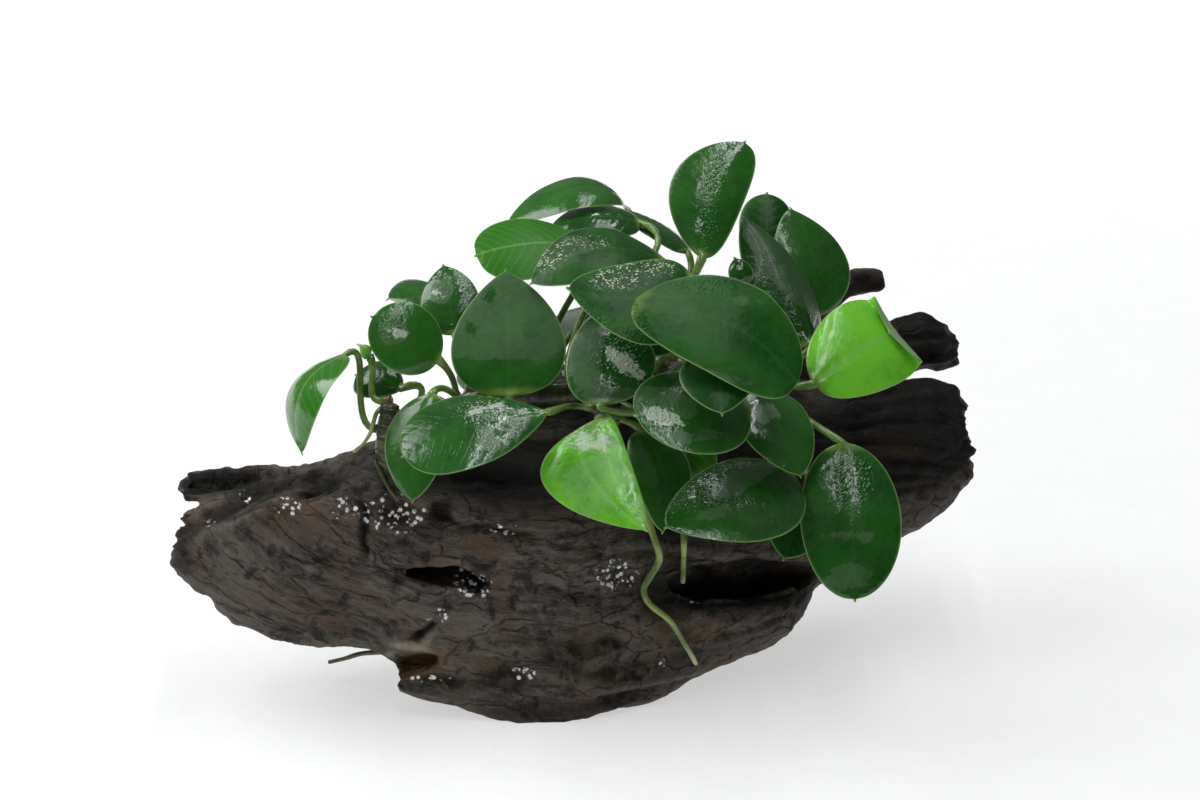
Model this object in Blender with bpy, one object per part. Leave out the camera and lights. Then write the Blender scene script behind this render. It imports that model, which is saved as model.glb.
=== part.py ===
"""A small anubias grown onto a piece of driftwood.

Metres, +Z up. The wood lies along X and stands on its foot, which is cut flat at Z = 0. The origin is on the
foot, under the middle of the plant. The photograph was taken from the -Y side, looking slightly down.
"""

import math
from typing import NamedTuple

import bmesh
import bpy
from mathutils import Matrix, Vector, noise
from mathutils.bvhtree import BVHTree

MM = 0.001

# The photograph's view. A place given as (right pixel, down pixel, nearness) lies on the sight line of that
# pixel of the 1200 x 800 frame, as many millimetres nearer to the viewer as its third number says.
FRAME_PX = (1200, 800)
FRAME_WIDTH = 0.210
VIEW_CENTRE = Vector((0.005, 0.0, 0.052))
VIEW_ELEVATION = math.radians(20)
VIEW_DISTANCE = 0.600
VIEW_RIGHT = Vector((1, 0, 0))
VIEW_UP = Vector((0, math.sin(VIEW_ELEVATION), math.cos(VIEW_ELEVATION)))
VIEW_TOWARDS = Vector((0, -math.cos(VIEW_ELEVATION), math.sin(VIEW_ELEVATION)))

# Touching pieces keep this gap. A cutter swells by a little more, and a stalk starts further off its rhizome.
GAP = 0.3 * MM
CUTTER_GAP = 1.2 * GAP
STALK_GAP = 1.5 * GAP

# Faces that meet at more than this angle are shaded with an edge between them.
SHARP_ANGLE = math.radians(50)

# How far along a smooth path its direction is measured, in steps of its points
AHEAD = 0.05

# The driftwood
LOG_RINGS = 33
LOG_AROUND = 26
LOG_LUMPS = 1.1 * MM
LOG_LUMP_SIZE = Vector((38, 13, 11)) * MM
LOG_GRAIN = 0.8 * MM
LOG_GRAIN_SIZE = Vector((34, 5, 4)) * MM
END_RAGS = 2.2 * MM
END_RAG_SIZE = 5 * MM
END_HOLLOW = 2.5 * MM


class Section(NamedTuple):
    """The driftwood's outline at one place along it, in millimetres: x, then (y, z) points round it from the
    foot's front edge, up the front, over the top and down the back."""

    x: float
    foot_front: tuple
    front_low: tuple
    front_middle: tuple
    ridge: tuple
    top: tuple
    back_top: tuple
    back: tuple
    foot_back: tuple


LOG_SECTIONS = (
    Section(-69, (-13, 27), (-16.5, 28), (-17.5, 30.5), (-15, 33), (-7, 33.5), (1, 38), (4, 34), (-3, 28)),
    Section(-65, (-10, 20.3), (-15.5, 22.6), (-18, 28.5), (-16.5, 33), (-8, 34), (2, 38), (6, 33), (1, 24)),
    Section(-57, (-9, 13.6), (-15.5, 17.6), (-18.5, 28), (-17, 36), (-8, 35.5), (3, 38.5), (9, 31), (3, 18)),
    Section(-48, (-9, 9.8), (-16, 14.6), (-19, 28), (-15.5, 39), (-8, 37.5), (3, 38.5), (11, 30), (4, 14)),
    Section(-39, (-9, 10.5), (-16, 16), (-18.5, 28), (-15, 40), (-8, 42), (5, 40.5), (14, 31), (6, 11)),
    Section(-33, (-9, 9), (-16, 14), (-18.5, 27), (-15.5, 40.5), (-7.5, 44.5), (5, 43), (15, 31.5), (7, 9)),
    Section(-28, (-14, 5), (-19, 9), (-18.5, 26), (-15.5, 40.5), (-7, 46), (6, 45), (16, 32), (9, 6)),
    Section(-21, (-15, 1.5), (-20.5, 6), (-18.5, 24), (-15.5, 41), (-6, 47), (8, 47), (18, 31), (12, -1)),
    Section(-8, (-16.5, -2), (-21.5, 4), (-18.5, 23), (-15, 41), (-4, 47), (11, 47), (21, 30), (15, -2)),
    Section(6, (-15.5, -1), (-20.5, 5.5), (-17, 23), (-12, 39), (0, 47.5), (14, 47.5), (24, 30), (17, -2)),
    Section(20, (-8, 1), (-13.5, 8), (-11, 23), (-6, 37), (6, 46.5), (19, 47), (29, 30), (18, 3)),
    Section(31, (-3.5, 5.5), (-8.5, 10), (-4.5, 23), (0, 36), (12, 45), (24, 46), (33.5, 32), (20, 9)),
    Section(38.5, (0, 8), (-5.5, 11.5), (-1, 24), (4, 36.5), (15, 44.5), (27, 45.5), (36, 32.5), (22, 12.5)),
    Section(44, (9, 14), (3, 17), (5, 26), (8, 37), (18, 44), (30, 44.5), (37.5, 33), (25, 18)),
    Section(54, (18, 17), (12, 20), (11, 30), (14, 38), (22, 43), (32, 43.5), (38, 34), (28, 21)),
    Section(66, (25, 19.5), (19, 22), (17, 31), (19, 38.5), (27, 44), (35, 43.5), (39, 34), (32, 22)),
    Section(73, (27, 27), (23, 29.5), (21, 32), (23, 37), (28, 40.5), (34, 40), (37, 33), (32, 28)),
)


class Hollow(NamedTuple):
    """A smooth hollow cut into the driftwood, as the photograph's view sees it: its middle, its half lengths
    in millimetres to the right, up and towards the viewer, how far it is tilted anticlockwise, and how far its
    right end swings away from the viewer, in degrees."""

    middle: tuple
    half: tuple
    tilt: float = 0.0
    swing: float = 0.0


HOLLOWS = {
    "end_slot": Hollow((185, 508, 12), (2.8, 0.8, 30), tilt=32),
    "front_scoop": Hollow((448, 575, 8), (8, 2.4, 5), tilt=-8),
    "right_groove": Hollow((745, 577, -6), (17, 3.6, 6), tilt=3, swing=28),
    "foot_notch": Hollow((412, 665, 4), (5.2, 2.0, 8), tilt=8),
    "top_cleft": Hollow((322, 485, 10), (5.5, 1.5, 4), tilt=28),
}


class Limb(NamedTuple):
    """A round piece along a path: its places, its radii there in millimetres, and how it is divided."""

    places: tuple
    radii: tuple
    rings: int
    around: int
    lumps: float = 0.0


LIMB_LUMP_SIZE = 6 * MM

WOOD_LIMBS = {
    "driftwood_branch": Limb(
        (
            (760, 372, -32),
            (830, 362, -38),
            (890, 352, -42),
            (921, 338, -42),
            (946, 351, -42),
            (956, 352, -42),
        ),
        (6.0, 5.4, 4.7, 4.6, 3.2, 1.2),
        11,
        11,
        0.7,
    ),
    "driftwood_stub": Limb(
        ((800, 352, -44), (812, 318, -48), (838, 288, -50), (864, 281, -51), (881, 281, -51)),
        (2.6, 2.2, 2.0, 2.1, 1.5),
        7,
        8,
        0.3,
    ),
}

# The rhizomes, the creeping stems from which every leaf stalk grows. Their places are in world millimetres.
RHIZOMES = {
    "rhizome_main": Limb(
        ((-20, 3, 50.5), (-9, 3, 51.5), (4, 6, 52), (17, 11, 52), (32, 17, 52)),
        (2.0, 2.9, 3.1, 3.0, 2.2),
        9,
        8,
    ),
    "rhizome_front": Limb(
        ((7, -1.2, 51), (6, -4.6, 52.3), (5, -8, 53.2)),
        (2.1, 2.2, 1.6),
        5,
        8,
    ),
    "rhizome_left": Limb(
        ((-31, -11.5, 42), (-31.5, -11, 49), (-31, -9.5, 55)),
        (2.1, 2.2, 1.6),
        6,
        8,
    ),
}

# The leaves. A stalk is a curve with two bends, each a share of the whole way from the rhizome to the blade.
LEAF_AROUND = 8
STALK_STEPS = (0.0, 0.36, 0.72)
BLADE_STEPS = (0.0, 0.07, 0.26, 0.5, 0.75, 0.92, 1.0)
STALK_LOWER_BEND = 0.4
STALK_UPPER_BEND = 0.35
STALK_AHEAD = 0.02
STALK_RADIUS = 0.75 * MM
NECK_HALF_WIDTH = 0.9 * MM
NECK_HALF_THICKNESS = 0.6 * MM
BLADE_HALF_THICKNESS = 0.42 * MM
TIP_HALF_THICKNESS = 0.2 * MM
TIP_HALF_WIDTH = 0.4 * MM


class Leaf(NamedTuple):
    """A leaf with its stalk, which starts a share of the way along its rhizome.

    Base and tip are places in the photograph's view, and so is the way that it faces: right, up and towards
    the viewer. Width, arch, cup, bend, sway and elbow are millimetres. Fullness holds two powers: the higher,
    the slimmer the blade is near its base, and near its tip. Bend bows the blade to its right, as seen from
    its face with the tip up. A bow under 1 puts the most of the arch and the bend nearer to the base. Sway moves
    the stalk's lower bend in the world, and elbow is its upper bend in the view, counted from the base.
    """

    name: str
    base: tuple
    tip: tuple
    faces: tuple
    width: float
    rhizome: str
    along: float
    arch: float = 1.5
    cup: float = -1.0
    bend: float = 0.0
    fullness: tuple = (0.5, 0.7)
    bow: float = 1.0
    sway: tuple = (0.0, 0.0, 0.0)
    elbow: tuple = ()
    young: bool = False


LEAVES = (
    Leaf("leaf_front_large", (634, 303, 24), (799, 385, 27), (0.05, 0.5, 0.86), 19, "rhizome_main", 0.85,
         bend=-3.6, fullness=(0.5, 0.42), sway=(-1, -10, -4), elbow=(9, -14, 4)),
    Leaf("leaf_middle_gritty", (695, 283, 10), (566, 288, 14), (-0.1, 0.65, 0.75), 20, "rhizome_main", 0.8,
         bend=-4.6),
    Leaf("leaf_middle_under", (685, 331, -1), (600, 338, 1), (-0.1, 0.6, 0.8), 11, "rhizome_main", 0.7),
    Leaf("leaf_upper_gritty", (666, 262, -4), (529, 286, 3), (-0.1, 0.75, 0.65), 17, "rhizome_main", 0.64,
         arch=3.8, bend=2.0),
    Leaf("leaf_upright_left", (510, 396, 8), (506, 269, 0), (-0.05, 0.3, 0.95), 20, "rhizome_main", 0.15,
         fullness=(0.45, 0.8)),
    Leaf("leaf_left_back_young", (585, 244, -12), (474, 257, -7), (-0.1, 0.7, 0.7), 16.5,
         "rhizome_main", 0.35, arch=1.5, fullness=(0.5, 0.38), elbow=(6, -1, -3), young=True),
    Leaf("leaf_back_arched", (624, 207, -28), (506, 224, -23), (-0.1, 0.85, 0.5), 13, "rhizome_main", 0.43,
         arch=5.2, bow=0.6, sway=(2, 2, -3), elbow=(6, -2, -11)),
    Leaf("leaf_back_shaded", (640, 222, -20), (548, 228, -18), (0, 0.8, 0.6), 12, "rhizome_main", 0.5,
         sway=(-2, -8, 0), elbow=(12, -4, 4)),
    Leaf("leaf_back_narrow", (688, 252, -20), (627, 210, -26), (0.3, 0.9, 0.3), 10, "rhizome_main", 0.78,
         arch=0.8),
    Leaf("leaf_top", (702, 258, -4), (746, 141, -10), (-0.05, 0.15, 0.98), 13.5, "rhizome_main", 0.74,
         bend=-3.2, fullness=(0.6, 0.52)),
    Leaf("leaf_rear_top", (765, 262, -28), (767, 192, -32), (0, 0.3, 0.95), 10, "rhizome_main", 0.9,
         fullness=(0.5, 0.45)),
    Leaf("leaf_back_right", (808, 318, -18), (790, 207, -26), (0.3, 0.3, 0.9), 15, "rhizome_main", 0.96,
         bend=2),
    Leaf("leaf_folded", (812, 345, -8), (742, 215, -14), (0.4, 0.5, 0.75), 13.5, "rhizome_main", 0.92, cup=-4.0,
         bend=1.8),
    Leaf("leaf_small_inner", (745, 285, -8), (734, 257, -10), (0, 0.4, 0.9), 4.5, "rhizome_main", 0.84),
    Leaf("leaf_centre", (601, 405, 12.5), (598, 312, 3), (0, 0.45, 0.9), 15.5, "rhizome_front", 0.3, bend=2.0,
         sway=(3, -7, -1), elbow=(-2, -1, 1)),
    Leaf("leaf_front_lower", (748, 404, 15), (633, 416, 24), (0, 0.6, 0.8), 19, "rhizome_main", 0.78,
         bend=-1.0, fullness=(0.5, 0.5), elbow=(-1, -3, -4)),
    Leaf("leaf_front_domed", (715, 352, 19), (722, 416, 30), (0, 0.45, 0.9), 13, "rhizome_main", 0.72),
    Leaf("leaf_right_middle", (758, 388, 4), (801, 478, 14), (0.3, 0.5, 0.8), 14, "rhizome_main", 0.87,
         bend=0.5),
    Leaf("leaf_front_grooved", (790, 470, 6), (664, 528, 22), (-0.1, 0.6, 0.8), 19.5, "rhizome_main", 0.82,
         bend=-2.4),
    Leaf("leaf_right_young", (814, 384, 2), (897, 333, -5), (0.1, 0.3, 0.95), 17.3, "rhizome_main", 0.95,
         bend=-0.9, fullness=(0.46, 0.115), young=True),
    Leaf("leaf_right_hanging", (843, 443, 6), (855, 602, 12), (0, 0.25, 0.97), 17.5, "rhizome_main", 1.0,
         bend=-0.3, fullness=(0.5, 0.5), elbow=(-6, 4, -4)),
    Leaf("leaf_front_young", (598, 420, 17), (648, 532, 27), (-0.15, 0.45, 0.88), 15.3, "rhizome_front", 0.98,
         bend=5.3, bow=0.5, fullness=(0.34, 0.8), sway=(0, -1, -2), young=True),
    Leaf("leaf_front_shaded", (640, 430, 7), (662, 534, 13), (0, 0.4, 0.9), 10, "rhizome_front", 0.8,
         bend=-2.2),
    Leaf("leaf_front_small", (688, 436, 4), (679, 493, 5), (0, 0.5, 0.85), 11.5, "rhizome_main", 0.68,
         young=True),
    Leaf("leaf_front_left", (548, 412, 17), (401, 456, 25), (-0.1, 0.7, 0.7), 18, "rhizome_front", 0.9,
         bend=0.8, fullness=(0.85, 0.5)),
    Leaf("leaf_left_hanging", (432, 394, 12), (412, 503, 18), (-0.3, 0.3, 0.9), 12, "rhizome_main", 0.03,
         bend=0.8),
    Leaf("leaf_left_round", (439, 360, 6), (370, 316, 8), (-0.1, 0.4, 0.9), 12.7, "rhizome_main", 0.0,
         fullness=(0.5, 0.5)),
    Leaf("leaf_left_upper", (456, 334, 0), (443, 264, -6), (-0.1, 0.4, 0.9), 10.5, "rhizome_main", 0.07),
    Leaf("leaf_left_behind", (446, 292, -16), (386, 300, -12), (-0.1, 0.85, 0.5), 13, "rhizome_main", 0.1),
    Leaf("leaf_left_lower", (402, 388, 5), (355, 375, 0), (0, 0.5, 0.85), 8, "rhizome_left", 0.6,
         fullness=(0.6, 0.4), sway=(0, 0, -2), elbow=(8, 3, -1)),
    Leaf("leaf_left_bud", (370, 357, 9), (357, 344, 10), (0, 0.5, 0.85), 2.4, "rhizome_left", 1.0,
         young=True),
    Leaf("leaf_far_left", (345, 355, 8), (303, 456, 10), (-0.72, 0.5, 0.45), 14, "rhizome_left", 0.6,
         arch=4.8, elbow=(5, 4, -2), young=True),
    Leaf("leaf_right_shaded", (812, 490, -2), (783, 561, 6), (0, 0.4, 0.9), 12, "rhizome_main", 0.9),
    # The leaves that the photograph hides, round the back of the plant
    Leaf("leaf_rear_left", (520, 330, -22), (455, 318, -34), (-0.3, 0.6, -0.7), 13, "rhizome_main", 0.2),
    Leaf("leaf_rear_left_low", (520, 366, -23), (464, 392, -35), (-0.3, 0.7, -0.6), 14, "rhizome_main", 0.25),
    Leaf("leaf_rear_middle", (600, 306, -26), (592, 356, -42), (0, 0.6, -0.8), 16, "rhizome_main", 0.4),
    Leaf("leaf_rear_high", (655, 268, -32), (642, 304, -48), (0, 0.7, -0.7), 15, "rhizome_main", 0.62),
    Leaf("leaf_rear_right", (735, 312, -30), (745, 352, -46), (0.1, 0.6, -0.8), 15, "rhizome_main", 0.88),
    Leaf("leaf_rear_low_middle", (650, 354, -26), (655, 400, -40), (0, 0.4, -0.9), 15, "rhizome_main", 0.5),
    Leaf("leaf_rear_low_left", (575, 366, -23), (558, 408, -36), (-0.2, 0.4, -0.9), 14, "rhizome_main", 0.33),
    Leaf("leaf_rear_low_right", (706, 354, -31), (714, 394, -46), (0.1, 0.5, -0.8), 13, "rhizome_main", 0.7),
)

# The roots. A place on the wood is a pixel of the photograph and how far the root's middle stands off the wood
# there, in millimetres. Free roots have places in the view.
ROOT_RADIUS = 0.7 * MM
ROOT_TAPER = 0.35
ROOT_STEPS = 9
WOOD_ROOTS = {
    "root_front_long": (
        (616, 446, 1.6), (632, 482, 1.6), (645, 512, 1.8), (656, 545, 1.8), (659, 560, 2.0), (650, 577, 1.8),
        (644, 590, 1.6), (650, 605, 2.0), (668, 619, 3.0), (677, 631, 3.0), (687, 648, 2.4), (697, 665, 1.6),
    ),
    "root_front_short": ((680, 500, 1.8), (683, 530, 1.8), (684, 548, 2.6), (683, 583, 4.2)),
    "root_left_small": ((372, 468, 1.5), (381, 480, 1.3), (391, 490, 1.2), (399, 501, 1.2)),
}
FREE_ROOTS = {
    "root_left_arc": ((375, 409, 11), (373, 420, 10.5), (370, 434, 10), (362, 445, 9.5), (353, 452, 9)),
    "root_under": ((385, 652, -11), (366, 653, -13), (346, 658, -14), (328, 662, -15)),
}


def from_view(place):
    """The point that a place in the photograph's view stands for."""
    px, py, nearness = place
    near = nearness * MM
    spread = FRAME_WIDTH / FRAME_PX[0] * (VIEW_DISTANCE - near) / VIEW_DISTANCE
    across = VIEW_RIGHT * (px - FRAME_PX[0] / 2) + VIEW_UP * (FRAME_PX[1] / 2 - py)
    return VIEW_CENTRE + VIEW_TOWARDS * near + across * spread


def from_view_axes(vector):
    """A vector given as right, up and towards the viewer."""
    right, up, towards = vector
    return VIEW_RIGHT * right + VIEW_UP * up + VIEW_TOWARDS * towards


def smooth(values, at):
    """The value at a place, counted in steps, on a smooth curve through the values."""
    step = min(int(at), len(values) - 2)
    part = at - step
    a, b, c, d = (values[min(max(step + i, 0), len(values) - 1)] for i in (-1, 0, 1, 2))
    slope = (c - a) * (part / 2)
    square = (a * 2 - b * 5 + c * 4 - d) * (part**2 / 2)
    cube = (b * 3 - a - c * 3 + d) * (part**3 / 2)
    return b + slope + square + cube


def smooth_loop(values, at):
    """As smooth, on a closed curve."""
    count = len(values)
    step = int(at)
    around = [values[(step + i) % count] for i in (-1, 0, 1, 2)]
    return smooth(around, 1 + at - step)


def tube(rings, around):
    """A capped tube of radius 1 along Z from 0 to 1, in even rings, to be shaped."""
    bm = bmesh.new()
    bmesh.ops.create_cone(
        bm,
        cap_ends=True,
        segments=around,
        radius1=1,
        radius2=1,
        depth=1,
        matrix=Matrix.Translation((0, 0, 0.5)),
    )
    lengthwise = [edge for edge in bm.edges if round(edge.verts[0].co.z) != round(edge.verts[1].co.z)]
    bmesh.ops.subdivide_edges(bm, edges=lengthwise, cuts=rings - 2)
    return bm


def shape_tube(bm, rings, place):
    """Moves each vertex to what place gives for its ring and its angle."""
    for vert in bm.verts:
        vert.co = place(round(vert.co.z * (rings - 1)), math.atan2(vert.co.y, vert.co.x))
    if bm.calc_volume(signed=True) < 0:
        bmesh.ops.reverse_faces(bm, faces=bm.faces)


def finish(name, bm, collection, material):
    """A new object of the mesh."""
    mesh = bpy.data.meshes.new(name)
    bm.to_mesh(mesh)
    bm.free()
    mesh.shade_smooth()
    mesh.set_sharp_from_angle(angle=SHARP_ANGLE)
    piece = bpy.data.objects.new(name, mesh)
    collection.objects.link(piece)
    if material:
        mesh.materials.append(material)
    return piece


def make_material(name, colour, roughness):
    material = bpy.data.materials.new(name)
    material.use_nodes = True
    shader = material.node_tree.nodes["Principled BSDF"]
    shader.inputs["Base Color"].default_value = (*colour, 1)
    shader.inputs["Roughness"].default_value = roughness
    shader.inputs["Metallic"].default_value = 0
    return material


def log_place(ring, angle):
    """A point of the driftwood's surface before its hollows are cut."""
    at = ring / (LOG_RINGS - 1) * (len(LOG_SECTIONS) - 1)
    turn = (angle / math.tau) % 1.0
    x = smooth([section.x for section in LOG_SECTIONS], at) * MM
    around = [[Vector(point) for point in section[1:]] for section in LOG_SECTIONS]
    outlines = [smooth_loop(points, turn * len(points)) for points in around]
    y, z = smooth(outlines, at) * MM
    outline = [Vector(point) * MM for point in LOG_SECTIONS[round(at)][1:]]
    middle = sum(outline, Vector((0, 0))) / len(outline)
    outward = (Vector((y, z)) - middle).normalized()
    at_place = Vector((x, y, z))
    lumps = noise.noise(Vector(c / s for c, s in zip(at_place, LOG_LUMP_SIZE, strict=True)))
    grain = noise.noise(Vector(c / s for c, s in zip(at_place, LOG_GRAIN_SIZE, strict=True)))
    swell = LOG_LUMPS * lumps + LOG_GRAIN * grain
    end = {0: -1, LOG_RINGS - 1: 1}.get(ring, 0)
    rags = END_RAGS * end * noise.noise(Vector((end, y / END_RAG_SIZE, z / END_RAG_SIZE)))
    return Vector((x + rags, y + outward.x * swell, z + outward.y * swell))


def make_log(collection, cutters, material):
    """The driftwood's main piece, flat where it stands on the floor."""
    bm = tube(LOG_RINGS, LOG_AROUND)
    shape_tube(bm, LOG_RINGS, log_place)
    caps = [face for face in bm.faces if len(face.verts) > 4]
    poked = bmesh.ops.poke(bm, faces=caps)
    for centre in poked["verts"]:
        centre.co.x -= math.copysign(END_HOLLOW, centre.co.x)
    bmesh.ops.triangulate(bm, faces=bm.faces)
    everything = bm.verts[:] + bm.edges[:] + bm.faces[:]
    cut = bmesh.ops.bisect_plane(
        bm, geom=everything, plane_co=(0, 0, 0), plane_no=(0, 0, -1), clear_outer=True
    )
    rim = [piece for piece in cut["geom_cut"] if isinstance(piece, bmesh.types.BMEdge)]
    bmesh.ops.holes_fill(bm, edges=rim)
    log = finish("driftwood_log", bm, collection, material)
    for name, hollow in HOLLOWS.items():
        cut_with(log, make_hollow(name, hollow, cutters))
    return log


def make_hollow(name, hollow, cutters):
    """A hollow's cutter, a stretched ball."""
    axes = Matrix((VIEW_RIGHT, VIEW_UP, VIEW_TOWARDS)).transposed().to_4x4()
    tilt = Matrix.Rotation(math.radians(hollow.tilt), 4, "Z")
    swing = Matrix.Rotation(math.radians(hollow.swing), 4, "Y")
    size = Matrix.Diagonal((*[half * MM for half in hollow.half], 1))
    place = Matrix.Translation(from_view(hollow.middle))
    bm = bmesh.new()
    bmesh.ops.create_icosphere(bm, subdivisions=2, radius=1, matrix=place @ axes @ tilt @ swing @ size)
    return as_cutter(finish(name, bm, cutters, None))


def as_cutter(piece):
    piece.hide_render = True
    piece.display_type = "WIRE"
    return piece


def cut_with(piece, cutter):
    modifier = piece.modifiers.new(cutter.name, "BOOLEAN")
    modifier.operation = "DIFFERENCE"
    modifier.object = cutter


def swollen_copy(piece, cutters):
    """A cutter that reaches the gap beyond the piece's surface."""
    graph = bpy.context.evaluated_depsgraph_get()
    mesh = bpy.data.meshes.new_from_object(piece.evaluated_get(graph))
    bm = bmesh.new()
    bm.from_mesh(mesh)
    bpy.data.meshes.remove(mesh)
    bm.normal_update()
    moves = [vert.normal * CUTTER_GAP for vert in bm.verts]
    for vert, move in zip(bm.verts, moves, strict=True):
        vert.co += move
    return as_cutter(finish(piece.name + "_clearance", bm, cutters, None))


def path_direction(points, at):
    """The way a smooth path runs at a place, counted in steps."""
    ahead = smooth(points, min(at + AHEAD, len(points) - 1))
    behind = smooth(points, max(at - AHEAD, 0))
    return (ahead - behind).normalized()


def path_frames(points, rings):
    """Even places on a smooth path, each with two sides across it."""
    frames = []
    for ring in range(rings):
        at = ring / (rings - 1) * (len(points) - 1)
        direction = path_direction(points, at)
        upright = Vector((0, 0, 1)) if abs(direction.z) < 0.9 else Vector((0, -1, 0))
        side = direction.cross(upright).normalized()
        frames.append((smooth(points, at), side, side.cross(direction)))
    return frames


def make_limb(name, points, limb, collection, material):
    """A round piece of changing thickness along a path, a little lumpy."""
    frames = path_frames(points, limb.rings)

    def place(ring, angle):
        centre, side, up = frames[ring]
        radius = smooth(limb.radii, ring / (limb.rings - 1) * (len(limb.radii) - 1)) * MM
        outward = side * math.cos(angle) + up * math.sin(angle)
        swell = limb.lumps * MM * noise.noise((centre + outward * radius) / LIMB_LUMP_SIZE)
        return centre + outward * (radius + swell)

    bm = tube(limb.rings, limb.around)
    shape_tube(bm, limb.rings, place)
    return finish(name, bm, collection, material)


def rhizome_start(rhizome, along, towards):
    """Where a stalk starts on a rhizome, and the way it sets out."""
    limb = RHIZOMES[rhizome]
    points = [Vector(place) * MM for place in limb.places]
    at = along * (len(points) - 1)
    centre = smooth(points, at)
    direction = path_direction(points, at)
    away = towards - centre
    away = (away - direction * away.dot(direction)).normalized()
    return centre + away * (smooth(limb.radii, at) * MM + STALK_GAP), away


def bezier(points, at):
    a, b, c, d = points
    rest = 1 - at
    return a * rest**3 + b * (3 * rest**2 * at) + c * (3 * rest * at**2) + d * at**3


def blade_half_width(leaf, at):
    """Half the blade's width at a place along it."""
    low, high = leaf.fullness
    widest = low / (low + high)
    peak = widest**low * (1 - widest) ** high
    return leaf.width / 2 * MM * at**low * (1 - at) ** high / peak


def make_leaf(leaf, collection, material):
    """A leaf as one solid: a round stalk that flattens into a lens-shaped blade."""
    base = from_view(leaf.base)
    tip = from_view(leaf.tip)
    axis = (tip - base).normalized()
    face = from_view_axes(leaf.faces)
    face = (face - axis * face.dot(axis)).normalized()
    side = axis.cross(face)
    start, away = rhizome_start(leaf.rhizome, leaf.along, base)
    reach = (base - start).length
    arrive = (axis + (base - start).normalized()).normalized()
    lower_bend = start + away * reach * STALK_LOWER_BEND + Vector(leaf.sway) * MM
    upper_bend = base - arrive * reach * STALK_UPPER_BEND
    if leaf.elbow:
        upper_bend = base + from_view_axes(leaf.elbow) * MM
    stalk = (start, lower_bend, upper_bend, base)

    def ring_of_stalk(at):
        centre = bezier(stalk, at)
        ahead = bezier(stalk, min(at + STALK_AHEAD, 1)) - bezier(stalk, max(at - STALK_AHEAD, 0))
        direction = ahead.normalized()
        across = (side - direction * side.dot(direction)).normalized()
        return centre, across, across.cross(direction), STALK_RADIUS, STALK_RADIUS, 0.0

    def ring_of_blade(at):
        peak = leaf.bow / (1 + leaf.bow)
        bow = (at / peak) ** leaf.bow * (1 - at) / (1 - peak)
        centre = base.lerp(tip, at) + face * (leaf.arch * MM * bow) + side * (leaf.bend * MM * bow)
        neck = max(0.0, 1 - at / BLADE_STEPS[1])
        half_width = max(blade_half_width(leaf, at), NECK_HALF_WIDTH * neck, TIP_HALF_WIDTH)
        thickness = BLADE_HALF_THICKNESS + (NECK_HALF_THICKNESS - BLADE_HALF_THICKNESS) * neck
        thickness += (TIP_HALF_THICKNESS - BLADE_HALF_THICKNESS) * at**3
        cup = leaf.cup * MM * blade_half_width(leaf, at) / (leaf.width / 2 * MM)
        return centre, side, face, half_width, thickness, cup

    rings = [ring_of_stalk(at) for at in STALK_STEPS] + [ring_of_blade(at) for at in BLADE_STEPS]

    def place(ring, angle):
        centre, across, outward, half_width, thickness, cup = rings[ring]
        out = math.cos(angle)
        up = thickness * math.sin(angle) + cup * out**2
        return centre + across * (half_width * out) + outward * up

    bm = tube(len(rings), LEAF_AROUND)
    shape_tube(bm, len(rings), place)
    return finish(leaf.name, bm, collection, material)


def wood_surface(log):
    """A search tree of the finished driftwood."""
    graph = bpy.context.evaluated_depsgraph_get()
    return BVHTree.FromObject(log, graph)


def on_wood(surface, place):
    """The point off the wood that a root's place stands for."""
    px, py, off = place
    eye = VIEW_CENTRE + VIEW_TOWARDS * VIEW_DISTANCE
    sight = (from_view((px, py, 0)) - eye).normalized()
    hit, _, _, _ = surface.ray_cast(eye, sight)
    return hit - sight * (off * MM)


def make_root(name, points, collection, material):
    """A thin root as a tube on a smooth path that tapers to its end."""
    curve = bpy.data.curves.new(name, "CURVE")
    curve.dimensions = "3D"
    curve.bevel_depth = ROOT_RADIUS
    curve.bevel_resolution = 1
    curve.use_fill_caps = True
    spline = curve.splines.new("POLY")
    spline.points.add(ROOT_STEPS - 1)
    for step, point in enumerate(spline.points):
        part = step / (ROOT_STEPS - 1)
        point.co = (*smooth(points, part * (len(points) - 1)), 1)
        point.radius = 1 - ROOT_TAPER * part
    root = bpy.data.objects.new(name, curve)
    collection.objects.link(root)
    curve.materials.append(material)
    return root


def clear_scene():
    for old in list(bpy.data.objects):
        bpy.data.objects.remove(old, do_unlink=True)


def make_collection(name):
    collection = bpy.data.collections.new(name)
    bpy.context.scene.collection.children.link(collection)
    return collection


FINISHES = {
    "wet_driftwood": ((0.022, 0.015, 0.011), 0.35),
    "rhizome_green": ((0.13, 0.17, 0.03), 0.45),
    "root_green": ((0.20, 0.26, 0.06), 0.45),
    "mature_leaf": ((0.012, 0.07, 0.012), 0.25),
    "young_leaf": ((0.10, 0.32, 0.02), 0.28),
}


def make_wood(parts, cutters, wood):
    """The driftwood and its two arms. Returns the log and its clearance cutter."""
    log = make_log(parts, cutters, wood)
    log_clearance = swollen_copy(log, cutters)
    limbs = {}
    for name, limb in WOOD_LIMBS.items():
        points = [from_view(place) for place in limb.places]
        limbs[name] = make_limb(name, points, limb, parts, wood)
        cut_with(limbs[name], log_clearance)
    cut_with(limbs["driftwood_stub"], swollen_copy(limbs["driftwood_branch"], cutters))
    return log, log_clearance


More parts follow.
